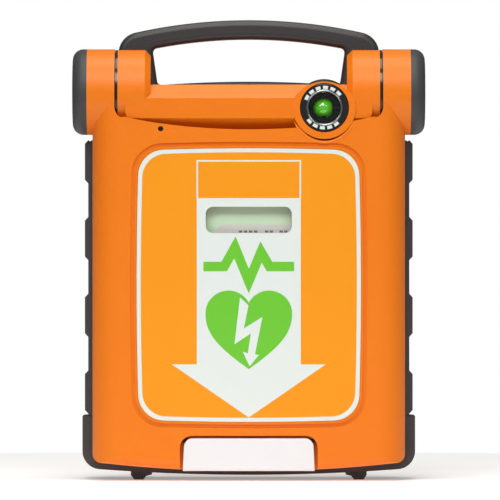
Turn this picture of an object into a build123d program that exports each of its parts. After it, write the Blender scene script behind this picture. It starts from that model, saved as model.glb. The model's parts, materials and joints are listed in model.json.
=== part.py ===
from build123d import *
import math
import os

os.makedirs("parts", exist_ok=True)

# An upright defibrillator case: X runs across it, Y from its front to its back, Z up.
# All sizes are in millimetres. The origin is under the middle of the case, on the table.

# ---------------------------------------------------------------- overall size
WIDTH = 230.0
HEIGHT = 300.5
DEPTH = 90.0
FRONT_Y = -DEPTH / 2
PAD_Y = DEPTH / 2
BACK_Y = PAD_Y - 2.0

# ---------------------------------------------------------------- lid hinge
HINGE_Y = -17.0
HINGE_Z = 253.5
BARREL_R = HINGE_Y - FRONT_Y
POST_IN = 67.6
POST_OUT = 85.4
POST_BEVEL = 3.6
WASHER_OUT = 87.0
BARREL_IN = 87.4
BARREL_OUT = 105.6
BARREL_WEB = 3.0
CAP_OUT = WIDTH / 2
CAP_ROUND = 7.0
PIN_R = 4.0
PIN_END = 66.0
PIN_HEAD_R = 6.5
PIN_HEAD = 2.0
HUB_R = 8.0
RUNNING_FIT = 0.05

# ---------------------------------------------------------------- case shells
HALF = 102.0
WALL = 3.0
SEAM = 0.3
LID_BACK = HINGE_Y - SEAM
BASE_FRONT = HINGE_Y + SEAM
FRONT_EDGE_R = 18.0
REAR_EDGE_R = 12.0
BOTTOM_Z = 6.2
BOTTOM_BOW_R = 858.0
BOTTOM_CORNER_R = 6.0
LID_LOWER_R = 6.5
SHOULDER_Z = 224.6
REAR_TOP_Z = 257.0
REAR_TOP_R = 6.0
SADDLE_Z = 255.0
REAR_BLOCK_Y = 13.0

# Reach of the lid edge around the hinge axis. The fixed bridge keeps inside it.
REACH = 37.4
REACH_BOW_R = 678.0
CORNER_RUN = 6.0
CORNER_DROP = 2.8
BRIDGE_HALF = 80.3
BRIDGE_GAP = 0.7
BRIDGE_TOP_Z = 258.0
BRIDGE_BACK = -12.5
RIDGE_Z = 249.0
BEVEL_Y = -34.0
FACET_LOW_Z = 236.0
FACET_EDGE = 5.0

# ---------------------------------------------------------------- carrying frame
FRAME_FRONT = -23.0
FRAME_BACK = -3.0
FRAME_HALF = 85.2
FRAME_LOW_Z = 236.0
CROWN_R = 342.0
SHOULDER_R = 14.0
GRIP_HEIGHT = 12.5
GRIP_UNDER_R = 322.7
GRIP_ROUND = 4.0
GAP_TOP_HALF = 63.0
GAP_LOW_HALF = 59.6
GAP_LOW_Z = 258.0
GAP_CROWN = 2.3
FRAME_FIT = 0.2

# ---------------------------------------------------------------- status indicator
STATUS_X = 49.2
STATUS_Z = 242.8
BOSS_R = 20.4
BOSS_FRONT = -44.6
BOSS_TRIM_R = 24.0
BOSS_TOP = 16.9
BOSS_REACH = 42.7
BOSS_SWEEP_R = 24.5
BOSS_SWEEP_HALF = 21.5
FRAME_BUMP_R = 19.2
BEZEL_R = 15.9
BEZEL_FRONT = -44.9
BEZEL_BACK = -41.0
LENS_R = 10.7
LENS_BACK = -43.0
CUP_WALL = 1.0
CUP_BACK = -24.5
FLAG_Y = -33.0
FLAG_R = 7.0
FLAG_X = STATUS_X - 0.6
FLAG_FLAT_X = STATUS_X + 5.1
FLAG_NOTCH_R = 2.0
FLAG_SHAFT_R = 0.8
COIL_IN = 28.5
COIL_OUT = 36.5
COIL_R = 6.0

# ---------------------------------------------------------------- label and window
LABEL_HALF = 73.0
LABEL_LOW = 38.4
LABEL_HIGH = 216.5
LABEL_CORNER = 16.0
LABEL_CROWN = 1.5
LABEL_THICK = 1.0
LABEL_SINK = 0.15
LABEL_FIT = 0.2
GROOVE_GAP = 1.6
GROOVE_WIDTH = 2.4
GROOVE_DEPTH = 1.2
GLASS_HALF = 28.0
GLASS_LOW = 161.2
GLASS_HIGH = 178.4
GLASS_CORNER = 4.8
PANE_RIM = 2.5
PANE_THICK = 1.3
VENT_HOLE_X = -57.3
VENT_HOLE_Z = 229.1
VENT_HOLE_R = 1.75

# ---------------------------------------------------------------- latch
LATCH_HALF = 41.8
LATCH_LEAN = 1.0
LATCH_LOW = 6.5
LATCH_HIGH = 28.0
LATCH_CORNER = 6.0
LATCH_FRONT = -44.9
LATCH_PLATE = 3.7
LATCH_LOWER_R = 3.0
LATCH_AXIS_Y = -40.5
LATCH_AXIS_Z = 26.0
LATCH_KNUCKLE = LATCH_HIGH - LATCH_AXIS_Z
LATCH_PIN_R = 1.2
LATCH_PIN_END = 46.5
SPRING_SLOT = (30.0, 33.2)
POCKET_HALF = LATCH_HALF + 3.0
POCKET_TOP = 29.5
POCKET_CORNER = 8.0
POCKET_BACK = -38.0
POCKET_WALL = 2.5
TAB_HALF = 14.3
TAB_LOW = 29.1
TAB_HIGH = 30.3
HOOK_HALF = 6.0
HOOK_LOW = 18.5
HOOK_HIGH = 21.5
HOOK_END = -12.0
NOSE_FRONT = -14.4
NOSE_TOP = 24.6
SLOT_HALF = 9.0
SLOT_TOP = 27.0
STRIKER_LOW = 22.2
STRIKER_HIGH = 36.0
STRIKER_THICK = 0.7
STRIKER_HALF = 8.0

# ---------------------------------------------------------------- rubber guards and feet
BUMPER_HALF = 108.8
BUMPER_LOW = 3.2
BUMPER_TOP = 41.6
BUMPER_BOW_R = 1312.0
BUMPER_CORNER = 12.0
RAIL_FACE = 105.0
RAIL_PAD = 107.2
RAIL_LOW = 42.0
RAIL_HIGH = 222.0
RAIL_BACK = 36.0
RAIL_PITCH = 50.2
RAIL_PAD_LONG = 28.3
RAIL_FIRST = 43.2
RAIL_FLANK = 2.4
RAIL_COUNT = 4
FOOT_IN = 63.6
FOOT_OUT = 77.2
SOLE_IN = 69.0
SOLE_OUT = 75.0
FOOT_TOP = 7.4
FOOT_FRONT = -13.0
FOOT_BACK = 41.0
REAR_PAD_R = 7.0
REAR_PAD_X = 80.0
REAR_PAD_Z = (22.0, 238.0)

# ---------------------------------------------------------------- pieces set in the back
PLATE_HALF = 40.0
PLATE_Z = (140.0, 200.0)
PLATE_THICK = 0.6
PLATE_FIT = 0.3
VENT_AT = (70.0, 160.0)
VENT_R = 6.0
VENT_THICK = 0.9
VENT_SINK = 0.3

# ---------------------------------------------------------------- deck under the lid
DECK_FRONT = -15.0
DECK_BACK = -12.5
DECK_FIT = 0.2
DECK_TOP = SHOULDER_Z - WALL - DECK_FIT
GASKET_WIDTH = 1.6
GASKET_FRONT = -16.6
SHOCK_AT = (40.0, 95.0)
INFO_AT = (-40.0, 95.0)
SHOCK_R = 15.0
INFO_R = 7.0
BUTTON_FIT = 0.3
BUTTON_FLANGE = 1.3
SHOCK_FRONT = -18.5
INFO_FRONT = -17.5
SHOCK_STEM_END = -4.5
INFO_STEM_END = -3.2
SWITCH_GAP = 0.4
SHOCK_TRAVEL = 2.0
INFO_TRAVEL = 1.2
DISPLAY_AT = (0.0, 150.0)
DISPLAY_SIZE = (64.0, 32.0)
SPEAKER_AT = (0.0, 60.0)
SPEAKER_R = 18.0
GRILLE_HOLE_R = 1.3
SOCKET_AT = (-60.0, 190.0)
SOCKET_SIZE = (24.0, 14.0)
SCREW_X = 90.0
SCREW_Z = (32.0, 120.0, 204.0)
SCREW_R = 1.5
SCREW_HEAD_R = 3.0

# ---------------------------------------------------------------- pads and lid lining
LINER_FRONT = -39.5
LINER_BACK = -37.5
LINER_HALF = 92.0
LINER_LOW = 36.0
LINER_HIGH = 206.0
LINER_SCREW_X = 80.0
LINER_SCREW_Z = (45.0, 199.0)
POUCH_HALF = 66.0
POUCH_LOW = 52.0
POUCH_HIGH = 198.0
POUCH_BACK = -26.0
STRAP_Z = (78.0, 138.0)
STRAP_HIGH = 10.0
STRAP_THICK = 1.0
MAGNET_AT = (84.0, 60.0)

# ---------------------------------------------------------------- board and battery
BOARD_FRONT = 5.4
BOARD_BACK = 7.0
BOARD_HALF = 84.0
BOARD_LOW = 20.0
BOARD_HIGH = 210.0
BAY_HALF = 62.6
BAY_LOW = 29.4
BAY_HIGH = 118.6
BAY_FRONT = 11.0
BAY_WALL = 2.5
BATTERY_GAP = 0.6
CELL_R = 9.1
CELL_LONG = 65.0
CELL_PITCH = 19.2
CELL_COUNT = 6
CLIP_HALF = 8.0
CLIP_THICK = 0.5
CONTACT_HALF = 15.0
CONTACT_Z = (92.0, 104.0)
CONTACT_X = (-9.0, -3.0, 3.0, 9.0)
CONTACT_PAD_HALF = 1.2
CAPACITOR_Y = 23.5
CAPACITOR_R = 15.0
CAPACITOR_X = (-52.0, 22.0)
CAPACITOR_Z = 150.0
TRANSFORMER_X = (40.0, 70.0)
TRANSFORMER_Z = (137.0, 163.0)
RELAY_X = (42.0, 68.0)
RELAY_Z = (176.0, 192.0)
HEATSINK_X = (-66.0, -30.0)
HEATSINK_Z = (176.0, 202.0)
FIN_COUNT = 6
BATTERY_WALL = 2.0
BATTERY_TOP_ROOM = 14.0
RIB_Z = (64.0, 74.0, 84.0)
RIB_HALF = 20.0
CLIP_TONGUE = 26.0
CLIP_HOOK = 40.5


def front_plane(y):
    """Plane at depth y that faces forward: its own x runs across and its own y runs up."""
    return Plane.XZ.offset(-y)


def bow(x, radius):
    """How far a bowed edge stands off its middle at x."""
    return radius - math.sqrt(radius**2 - x**2)


def hinge_line():
    """The line that the lid turns on."""
    return Axis((0, HINGE_Y, HINGE_Z), (1, 0, 0))


def ends(side, inner, outer):
    """Low and high X of a piece on one side of the case."""
    return sorted((side * inner, side * outer))


def slab(x_range, y_range, z_range, mode=Mode.ADD):
    """A plain block between three pairs of limits."""
    with BuildSketch(front_plane(y_range[1])) as face:
        with Locations((sum(x_range) / 2, sum(z_range) / 2)):
            Rectangle(x_range[1] - x_range[0], z_range[1] - z_range[0])
    extrude(face.sketch, amount=y_range[1] - y_range[0], mode=mode)


def disc(radius, y_range, at, mode=Mode.ADD):
    """A round piece that faces forward, centred at (x, z)."""
    with BuildSketch(front_plane(y_range[1])) as face:
        with Locations(at):
            Circle(radius)
    extrude(face.sketch, amount=y_range[1] - y_range[0], mode=mode)


def bar(radius, x_range, at, mode=Mode.ADD):
    """A round bar along X, centred at (y, z)."""
    with BuildSketch(Plane.YZ.offset(x_range[0])) as face:
        with Locations(at):
            Circle(radius)
    extrude(face.sketch, amount=x_range[1] - x_range[0], mode=mode)


def coil(radius, wire, pitch, length, start, direction):
    """A wire spring."""
    with BuildLine() as path:
        Helix(pitch, length, radius, start, direction)
    with BuildSketch(Plane(path.line @ 0, z_dir=path.line % 0)) as section:
        Circle(wire)
    sweep(section.sketch, path=path.line)


def bowed_block(half, y_range, z_range, edge_radii, corner_r, bow_r=BOTTOM_BOW_R, lower_r=0.0):
    """A block with a bowed bottom. edge_radii round its front and rear upright edges, and
    lower_r the edge between its front and its bottom."""
    side_low = z_range[0] + bow(half, bow_r)
    high = z_range[1]
    with BuildSketch(Plane.XY) as plan:
        with Locations((0, sum(y_range) / 2)):
            Rectangle(2 * half, y_range[1] - y_range[0])
        if edge_radii[0] > 0:
            fillet(plan.vertices().group_by(Axis.Y)[0], radius=edge_radii[0])
        if edge_radii[1] > 0:
            fillet(plan.vertices().group_by(Axis.Y)[-1], radius=edge_radii[1])
    with BuildSketch(front_plane(y_range[1])) as front:
        with BuildLine():
            ThreePointArc((-half, side_low), (0, z_range[0]), (half, side_low))
            Polyline((half, side_low), (half, high), (-half, high), (-half, side_low))
        make_face()
        fillet(front.vertices().group_by(Axis.Y)[0], radius=corner_r)
    with BuildPart(mode=Mode.PRIVATE) as block:
        extrude(plan.sketch, amount=high)
        extrude(front.sketch, amount=y_range[1] - y_range[0], mode=Mode.INTERSECT)
        if lower_r > 0:
            # the rounded section follows the bow, turned about the bow's own centre
            with BuildSketch(Plane.YZ) as section:
                with Locations((sum(y_range) / 2, (z_range[0] + high) / 2 + lower_r)):
                    Rectangle(y_range[1] - y_range[0], high - z_range[0] + 2 * lower_r)
                low_pair = section.vertices().group_by(Axis.Y)[0]
                fillet(low_pair.sort_by(Axis.X)[0], radius=lower_r)
            bow_axis = Axis((0, 0, z_range[0] + bow_r), (0, 1, 0))
            revolve(section.sketch, axis=bow_axis, mode=Mode.INTERSECT)
    return block.part


def hinge_sweep(half, inset):
    """The space around the hinge axis under the crowned lid edge, less an inset."""
    shoulder = half - CORNER_RUN
    level = HINGE_Z - REACH + inset + bow(shoulder, REACH_BOW_R)
    low = level + CORNER_DROP
    cheek = (half - CORNER_RUN * 0.28, level + CORNER_DROP * 0.28)
    with BuildSketch(front_plane(HINGE_Y)) as section:
        with BuildLine():
            Polyline((half, low), (half, HINGE_Z), (-half, HINGE_Z), (-half, low))
            ThreePointArc((-half, low), (-cheek[0], cheek[1]), (-shoulder, level))
            ThreePointArc((-shoulder, level), (0, HINGE_Z - REACH + inset), (shoulder, level))
            ThreePointArc((shoulder, level), cheek, (half, low))
        make_face()
    with BuildPart(mode=Mode.PRIVATE) as swept:
        revolve(section.sketch, axis=hinge_line())
    return swept.part


def boss_sweep(inset):
    """The space around the hinge axis in front of the status boss, less an inset."""
    radius = BOSS_SWEEP_R - inset
    half = BOSS_SWEEP_HALF - inset
    middle = HINGE_Z - BOSS_REACH + BOSS_SWEEP_R
    edge = middle - math.sqrt(radius**2 - half**2)
    left = STATUS_X - half
    right = STATUS_X + half
    with BuildSketch(front_plane(HINGE_Y)) as section:
        with BuildLine():
            Polyline((right, edge), (right, HINGE_Z), (left, HINGE_Z), (left, edge))
            ThreePointArc((left, edge), (STATUS_X, middle - radius), (right, edge))
        make_face()
    with BuildPart(mode=Mode.PRIVATE) as swept:
        revolve(section.sketch, axis=hinge_line())
    return swept.part


def deck_form(inset, y_range):
    """The outline of the deck under the lid, less an inset."""
    half = HALF - WALL - DECK_FIT - inset
    low = BOTTOM_Z + WALL + DECK_FIT + inset
    corner = BOTTOM_CORNER_R - WALL - min(inset, 1.5)
    with BuildPart(mode=Mode.PRIVATE) as form:
        add(bowed_block(half, y_range, (low, DECK_TOP - inset), (0, 0), corner))
        add(hinge_sweep(BRIDGE_HALF + inset + 0.5, -inset), mode=Mode.SUBTRACT)
    return form.part


def label_shape(grow, y_range):
    """The crowned rectangle of the label, grown by a margin."""
    half = LABEL_HALF + grow
    low = LABEL_LOW - grow
    high = LABEL_HIGH + grow
    middle = (low + high) / 2
    inner = half - LABEL_CROWN
    with BuildSketch(front_plane(y_range[1])) as face:
        with BuildLine():
            ThreePointArc((-inner, low + LABEL_CROWN), (0, low), (inner, low + LABEL_CROWN))
            ThreePointArc((inner, low + LABEL_CROWN), (half, middle), (inner, high - LABEL_CROWN))
            ThreePointArc((inner, high - LABEL_CROWN), (0, high), (-inner, high - LABEL_CROWN))
            ThreePointArc((-inner, high - LABEL_CROWN), (-half, middle), (-inner, low + LABEL_CROWN))
        make_face()
        fillet(face.vertices(), radius=LABEL_CORNER + grow)
    return extrude(face.sketch, amount=y_range[1] - y_range[0], mode=Mode.PRIVATE)


def glass_shape(grow, y_range, mode):
    """The rounded window in the label, grown by a margin."""
    with BuildSketch(front_plane(y_range[1])) as face:
        with Locations((0, (GLASS_LOW + GLASS_HIGH) / 2)):
            RectangleRounded(
                2 * (GLASS_HALF + grow), GLASS_HIGH - GLASS_LOW + 2 * grow, GLASS_CORNER + grow
            )
    extrude(face.sketch, amount=y_range[1] - y_range[0], mode=mode)


def write(part, name):
    """Name a finished piece and write it to its own file."""
    part.label = name
    export_step(part, f"parts/{name}.step")


# ================================================================ lid and what turns with it
lid_inner = bowed_block(
    HALF - WALL,
    (FRONT_Y + WALL, LID_BACK),
    (BOTTOM_Z + WALL, HINGE_Z),
    (FRONT_EDGE_R - WALL, 0),
    BOTTOM_CORNER_R - WALL,
    lower_r=LID_LOWER_R - WALL,
)
lid_outer = bowed_block(
    HALF,
    (FRONT_Y, LID_BACK),
    (BOTTOM_Z, HINGE_Z),
    (FRONT_EDGE_R, 0),
    BOTTOM_CORNER_R,
    lower_r=LID_LOWER_R,
)

with BuildPart() as lid_cavity:
    add(lid_inner)
    bar(BARREL_R, (-BARREL_OUT, BARREL_OUT), (HINGE_Y, HINGE_Z), Mode.SUBTRACT)
    add(hinge_sweep(BARREL_IN + WALL, -WALL), mode=Mode.SUBTRACT)
    add(boss_sweep(-WALL), mode=Mode.SUBTRACT)
    slab(
        (-POCKET_HALF - POCKET_WALL, POCKET_HALF + POCKET_WALL),
        (FRONT_Y, POCKET_BACK + POCKET_WALL),
        (0, POCKET_TOP + POCKET_WALL),
        Mode.SUBTRACT,
    )
    for x in (-LINER_SCREW_X, LINER_SCREW_X):
        for z in LINER_SCREW_Z:
            disc(4.0, (FRONT_Y, LINER_FRONT), (x, z), Mode.SUBTRACT)

with BuildPart() as lid_shell:
    add(lid_outer)
    for side in (-1, 1):
        bar(BARREL_R, ends(side, BARREL_IN, BARREL_OUT), (HINGE_Y, HINGE_Z))
    add(hinge_sweep(BARREL_IN, 0), mode=Mode.SUBTRACT)
    add(boss_sweep(0), mode=Mode.SUBTRACT)
    add(lid_cavity.part, mode=Mode.SUBTRACT)
    # barrels are hollow cups with a hub for the pin, open towards the end caps
    for side in (-1, 1):
        with BuildSketch(Plane.YZ.offset(side * (BARREL_IN + BARREL_WEB))) as ring:
            with Locations((HINGE_Y, HINGE_Z)):
                Circle(BARREL_R - WALL)
                Circle(HUB_R, mode=Mode.SUBTRACT)
        extrude(
            ring.sketch,
            amount=side * (BARREL_OUT - BARREL_IN - BARREL_WEB),
            mode=Mode.SUBTRACT,
        )
        bar(PIN_R, ends(side, BARREL_IN, BARREL_OUT), (HINGE_Y, HINGE_Z), Mode.SUBTRACT)
    # label bed, groove around it and the window through it
    add(label_shape(LABEL_FIT, (FRONT_Y - 1, FRONT_Y + LABEL_THICK + LABEL_SINK)), mode=Mode.SUBTRACT)
    groove_range = (FRONT_Y - 1, FRONT_Y + GROOVE_DEPTH)
    groove = label_shape(GROOVE_GAP + GROOVE_WIDTH, groove_range) - label_shape(GROOVE_GAP, groove_range)
    add(groove, mode=Mode.SUBTRACT)
    glass_shape(0, (FRONT_Y - 1, FRONT_Y + WALL + 1), Mode.SUBTRACT)
    # latch pocket, open at the bottom, with its tab notch, hook slot and pin holes
    with BuildSketch(front_plane(POCKET_BACK)) as pocket:
        with Locations((0, POCKET_TOP / 2 - 5)):
            Rectangle(2 * POCKET_HALF, POCKET_TOP + 10)
        fillet(pocket.vertices().group_by(Axis.Y)[-1], radius=POCKET_CORNER)
    extrude(pocket.sketch, amount=10, mode=Mode.SUBTRACT)
    slab(
        (-TAB_HALF, TAB_HALF), (FRONT_Y + 1.5, POCKET_BACK), (POCKET_TOP - 1, TAB_HIGH), Mode.SUBTRACT
    )
    slab(
        (-SLOT_HALF, SLOT_HALF),
        (POCKET_BACK - 1, POCKET_BACK + POCKET_WALL + 1),
        (BOTTOM_Z + WALL + 0.2, HOOK_HIGH + 2),
        Mode.SUBTRACT,
    )
    bar(LATCH_PIN_R, (-LATCH_PIN_END, LATCH_PIN_END), (LATCH_AXIS_Y, LATCH_AXIS_Z), Mode.SUBTRACT)
    disc(VENT_HOLE_R, (FRONT_Y - 1, FRONT_Y + WALL - 0.5), (VENT_HOLE_X, VENT_HOLE_Z), Mode.SUBTRACT)
    for x in (-LINER_SCREW_X, LINER_SCREW_X):
        for z in LINER_SCREW_Z:
            disc(SCREW_R, (FRONT_Y + WALL, LINER_FRONT), (x, z), Mode.SUBTRACT)
write(lid_shell.part, "lid_shell")

with BuildPart() as label_panel:
    add(label_shape(0, (FRONT_Y + LABEL_SINK, FRONT_Y + LABEL_SINK + LABEL_THICK)))
    glass_shape(0, (FRONT_Y - 1, FRONT_Y + WALL), Mode.SUBTRACT)
write(label_panel.part, "label_panel")

with BuildPart() as window_pane:
    glass_shape(PANE_RIM, (FRONT_Y + WALL, FRONT_Y + WALL + PANE_THICK), Mode.ADD)
write(window_pane.part, "window_pane")

with BuildPart() as lid_liner:
    with BuildSketch(front_plane(LINER_BACK)):
        with Locations((0, (LINER_LOW + LINER_HIGH) / 2)):
            RectangleRounded(2 * LINER_HALF, LINER_HIGH - LINER_LOW, 10)
    extrude(amount=LINER_BACK - LINER_FRONT)
    glass_shape(PANE_RIM, (LINER_FRONT - 1, LINER_BACK + 1), Mode.SUBTRACT)
    for x in (-LINER_SCREW_X, LINER_SCREW_X):
        for z in LINER_SCREW_Z:
            disc(SCREW_R, (LINER_FRONT - 1, LINER_BACK + 1), (x, z), Mode.SUBTRACT)
write(lid_liner.part, "lid_liner")

with BuildPart() as liner_screws:
    for x in (-LINER_SCREW_X, LINER_SCREW_X):
        for z in LINER_SCREW_Z:
            disc(SCREW_R, (FRONT_Y + WALL + 0.5, LINER_BACK), (x, z))
            disc(SCREW_HEAD_R, (LINER_BACK, LINER_BACK + 1.6), (x, z))
write(liner_screws.part, "liner_screws")

with BuildPart() as pads_pouch:
    slab((-POUCH_HALF, POUCH_HALF), (LINER_BACK + 0.1, POUCH_BACK), (POUCH_LOW, POUCH_HIGH))
    fillet(pads_pouch.edges().filter_by(Axis.Y), radius=9)
    fillet(pads_pouch.faces().sort_by(Axis.Y)[-1].edges(), radius=5)
write(pads_pouch.part, "pads_pouch")

with BuildPart() as pouch_straps:
    for z in STRAP_Z:
        outer = POUCH_HALF + 0.5 + STRAP_THICK
        slab((-outer, outer), (LINER_BACK, POUCH_BACK + 0.2 + STRAP_THICK), (z, z + STRAP_HIGH))
        slab(
            (-POUCH_HALF - 0.5, POUCH_HALF + 0.5),
            (LINER_BACK, POUCH_BACK + 0.2),
            (z, z + STRAP_HIGH),
            Mode.SUBTRACT,
        )
write(pouch_straps.part, "pouch_straps")

with BuildPart() as lid_magnet:
    slab(
        (MAGNET_AT[0] - 4, MAGNET_AT[0] + 4),
        (LINER_BACK, LINER_BACK + 4),
        (MAGNET_AT[1] - 5, MAGNET_AT[1] + 5),
    )
write(lid_magnet.part, "lid_magnet")

for side, name in ((-1, "hinge_cap_left"), (1, "hinge_cap_right")):
    with BuildPart() as hinge_cap:
        bar(BARREL_R, ends(side, BARREL_OUT, CAP_OUT), (HINGE_Y, HINGE_Z))
        outer_face = hinge_cap.faces().filter_by(Axis.X).sort_by(lambda f: side * f.center().X)[-1]
        fillet(outer_face.edges(), radius=CAP_ROUND)
        head_space = ends(side, BARREL_OUT, BARREL_OUT + PIN_HEAD)
        bar(PIN_HEAD_R + RUNNING_FIT, head_space, (HINGE_Y, HINGE_Z), Mode.SUBTRACT)
    write(hinge_cap.part, name)

for side, name in ((-1, "hinge_pin_left"), (1, "hinge_pin_right")):
    with BuildPart() as hinge_pin:
        bar(PIN_R, ends(side, PIN_END, BARREL_OUT), (HINGE_Y, HINGE_Z))
        bar(PIN_HEAD_R, ends(side, BARREL_OUT, BARREL_OUT + PIN_HEAD), (HINGE_Y, HINGE_Z))
    write(hinge_pin.part, name)

# ================================================================ latch
with BuildPart() as latch_paddle:
    with BuildSketch(Plane.YZ.offset(-LATCH_HALF - LATCH_LEAN)):
        knuckle_back = LATCH_AXIS_Y + LATCH_KNUCKLE
        slope = LATCH_KNUCKLE * math.sqrt(0.5)
        crest = LATCH_FRONT + LATCH_KNUCKLE
        plate_back = LATCH_FRONT + LATCH_PLATE
        with BuildLine():
            heel = (LATCH_FRONT + LATCH_LOWER_R, LATCH_LOW)
            toe = (LATCH_FRONT, LATCH_LOW + LATCH_LOWER_R)
            slant = LATCH_LOWER_R * (1 - math.sqrt(0.5))
            ThreePointArc(heel, (LATCH_FRONT + slant, LATCH_LOW + slant), toe)
            Line(toe, (LATCH_FRONT, LATCH_AXIS_Z))
            ThreePointArc(
                (LATCH_FRONT, LATCH_AXIS_Z), (crest - slope, LATCH_AXIS_Z + slope), (crest, LATCH_HIGH)
            )
            Line((crest, LATCH_HIGH), (LATCH_AXIS_Y, LATCH_HIGH))
            ThreePointArc(
                (LATCH_AXIS_Y, LATCH_HIGH),
                (LATCH_AXIS_Y + slope, LATCH_AXIS_Z + slope),
                (knuckle_back, LATCH_AXIS_Z),
            )
            Polyline(
                (knuckle_back, LATCH_AXIS_Z),
                (knuckle_back, HOOK_HIGH),
                (plate_back, HOOK_LOW),
                (plate_back, LATCH_LOW),
                heel,
            )
        make_face()
    extrude(amount=2 * (LATCH_HALF + LATCH_LEAN))
    with BuildSketch(front_plane(0)) as latch_outline:
        with BuildLine():
            Polyline(
                (-LATCH_HALF, LATCH_HIGH),
                (-LATCH_HALF - LATCH_LEAN, LATCH_LOW),
                (LATCH_HALF + LATCH_LEAN, LATCH_LOW),
                (LATCH_HALF, LATCH_HIGH),
                close=True,
            )
        make_face()
        fillet(latch_outline.vertices().group_by(Axis.Y)[-1], radius=LATCH_CORNER)
    extrude(amount=DEPTH, mode=Mode.INTERSECT)
    slab((-HOOK_HALF, HOOK_HALF), (LATCH_FRONT + 2, HOOK_END), (HOOK_LOW, HOOK_HIGH))
    slab((-HOOK_HALF, HOOK_HALF), (NOSE_FRONT, HOOK_END), (HOOK_HIGH - 1, NOSE_TOP))
    bar(
        LATCH_PIN_R + RUNNING_FIT,
        (-LATCH_PIN_END, LATCH_PIN_END),
        (LATCH_AXIS_Y, LATCH_AXIS_Z),
        Mode.SUBTRACT,
    )
    slab(
        SPRING_SLOT,
        (LATCH_AXIS_Y - 2.0, POCKET_BACK),
        (LATCH_AXIS_Z - 2.2, LATCH_HIGH + 1),
        Mode.SUBTRACT,
    )
write(latch_paddle.part, "latch_paddle")

with BuildPart() as latch_pin:
    bar(LATCH_PIN_R, (-LATCH_PIN_END, LATCH_PIN_END), (LATCH_AXIS_Y, LATCH_AXIS_Z))
write(latch_pin.part, "latch_pin")

with BuildPart() as latch_spring:
    coil(1.55, 0.2, 0.6, 2.4, (SPRING_SLOT[0] + 0.4, LATCH_AXIS_Y, LATCH_AXIS_Z), (1, 0, 0))
write(latch_spring.part, "latch_spring")

with BuildPart() as latch_bracket:
    slab((-TAB_HALF, TAB_HALF), (FRONT_Y + 1.5, POCKET_BACK), (TAB_LOW, TAB_HIGH))
write(latch_bracket.part, "latch_bracket")

# ================================================================ fixed bridge above the lid
post_profile = (
    (POST_IN - POST_BEVEL, HINGE_Z),
    (POST_IN - POST_BEVEL, HINGE_Z - BARREL_R + POST_BEVEL),
    (POST_IN, HINGE_Z - BARREL_R),
    (POST_OUT, HINGE_Z - BARREL_R),
    (POST_OUT, HINGE_Z),
)

with BuildPart() as bridge_cover:
    add(hinge_sweep(BRIDGE_HALF, BRIDGE_GAP))
    facet_y = FRONT_Y + 1.0
    with BuildSketch(Plane.YZ.offset(-BRIDGE_HALF - 1)):
        with BuildLine():
            Polyline(
                (FRAME_FRONT - FRAME_FIT, BRIDGE_TOP_Z),
                (BEVEL_Y, BRIDGE_TOP_Z),
                (facet_y, RIDGE_Z),
                (facet_y + 0.6, FACET_LOW_Z),
                (facet_y + 1.4 * FACET_EDGE, FACET_LOW_Z - FACET_EDGE * 1.2),
                (BRIDGE_BACK, RIDGE_Z - 38),
                (BRIDGE_BACK, BRIDGE_TOP_Z),
                close=True,
            )
        make_face()
    extrude(amount=2 * BRIDGE_HALF + 2, mode=Mode.INTERSECT)
    # the indicator's boss, round below and flattened above
    with BuildSketch(front_plane(FRAME_FRONT - FRAME_FIT)) as boss_face:
        with Locations((STATUS_X, STATUS_Z)):
            Circle(BOSS_R)
        with Locations((STATUS_X, STATUS_Z + BOSS_TOP - BOSS_TRIM_R)):
            Circle(BOSS_TRIM_R, mode=Mode.INTERSECT)
    extrude(boss_face.sketch, amount=FRAME_FRONT - FRAME_FIT - BOSS_FRONT)
    for side in (-1, 1):
        with BuildSketch(front_plane(HINGE_Y)) as post:
            with BuildLine():
                Polyline([(side * x, z) for x, z in post_profile], close=True)
            make_face()
        revolve(post.sketch, axis=hinge_line())
    slab(
        (-HALF, HALF), (FRAME_FRONT - FRAME_FIT, PAD_Y), (FRAME_LOW_Z - FRAME_FIT, HEIGHT), Mode.SUBTRACT
    )
    slab((-HALF, HALF), (BRIDGE_BACK, PAD_Y), (0, HEIGHT), Mode.SUBTRACT)
    # hollow behind the facets, and the indicator's bore
    slab((-62, COIL_OUT + 0.4), (FLAG_Y - 7, FRAME_FRONT), (FRAME_LOW_Z + 0.4, RIDGE_Z), Mode.SUBTRACT)
    slab((-62, 24), (FLAG_Y + 1, FRAME_FRONT), (RIDGE_Z - 1, BRIDGE_TOP_Z - WALL), Mode.SUBTRACT)
    disc(LENS_R + CUP_WALL + 0.1, (BOSS_FRONT - 1, FRAME_FRONT), (STATUS_X, STATUS_Z), Mode.SUBTRACT)
    disc(BEZEL_R + 0.1, (BOSS_FRONT - 1, BEZEL_BACK), (STATUS_X, STATUS_Z), Mode.SUBTRACT)
    bar(FLAG_SHAFT_R + 0.5, (COIL_OUT - 1, STATUS_X), (FLAG_Y, STATUS_Z), Mode.SUBTRACT)
write(bridge_cover.part, "bridge_cover")

with BuildPart() as status_bezel:
    disc(BEZEL_R, (BEZEL_FRONT, BEZEL_BACK), (STATUS_X, STATUS_Z))
    chamfer(status_bezel.faces().sort_by(Axis.Y)[0].edges(), length=0.8)
    disc(LENS_R + CUP_WALL, (BEZEL_BACK - 1, CUP_BACK), (STATUS_X, STATUS_Z))
    disc(LENS_R, (BEZEL_FRONT - 1, CUP_BACK - CUP_WALL), (STATUS_X, STATUS_Z), Mode.SUBTRACT)
    bar(
        FLAG_SHAFT_R + RUNNING_FIT,
        (STATUS_X - LENS_R - CUP_WALL, STATUS_X + LENS_R + CUP_WALL),
        (FLAG_Y, STATUS_Z),
        Mode.SUBTRACT,
    )
write(status_bezel.part, "status_bezel")

with BuildPart() as status_lens:
    disc(LENS_R - 0.1, (LENS_BACK - 1.4, LENS_BACK), (STATUS_X, STATUS_Z))
    fillet(status_lens.faces().sort_by(Axis.Y)[0].edges(), radius=0.9)
write(status_lens.part, "status_lens")


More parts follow.
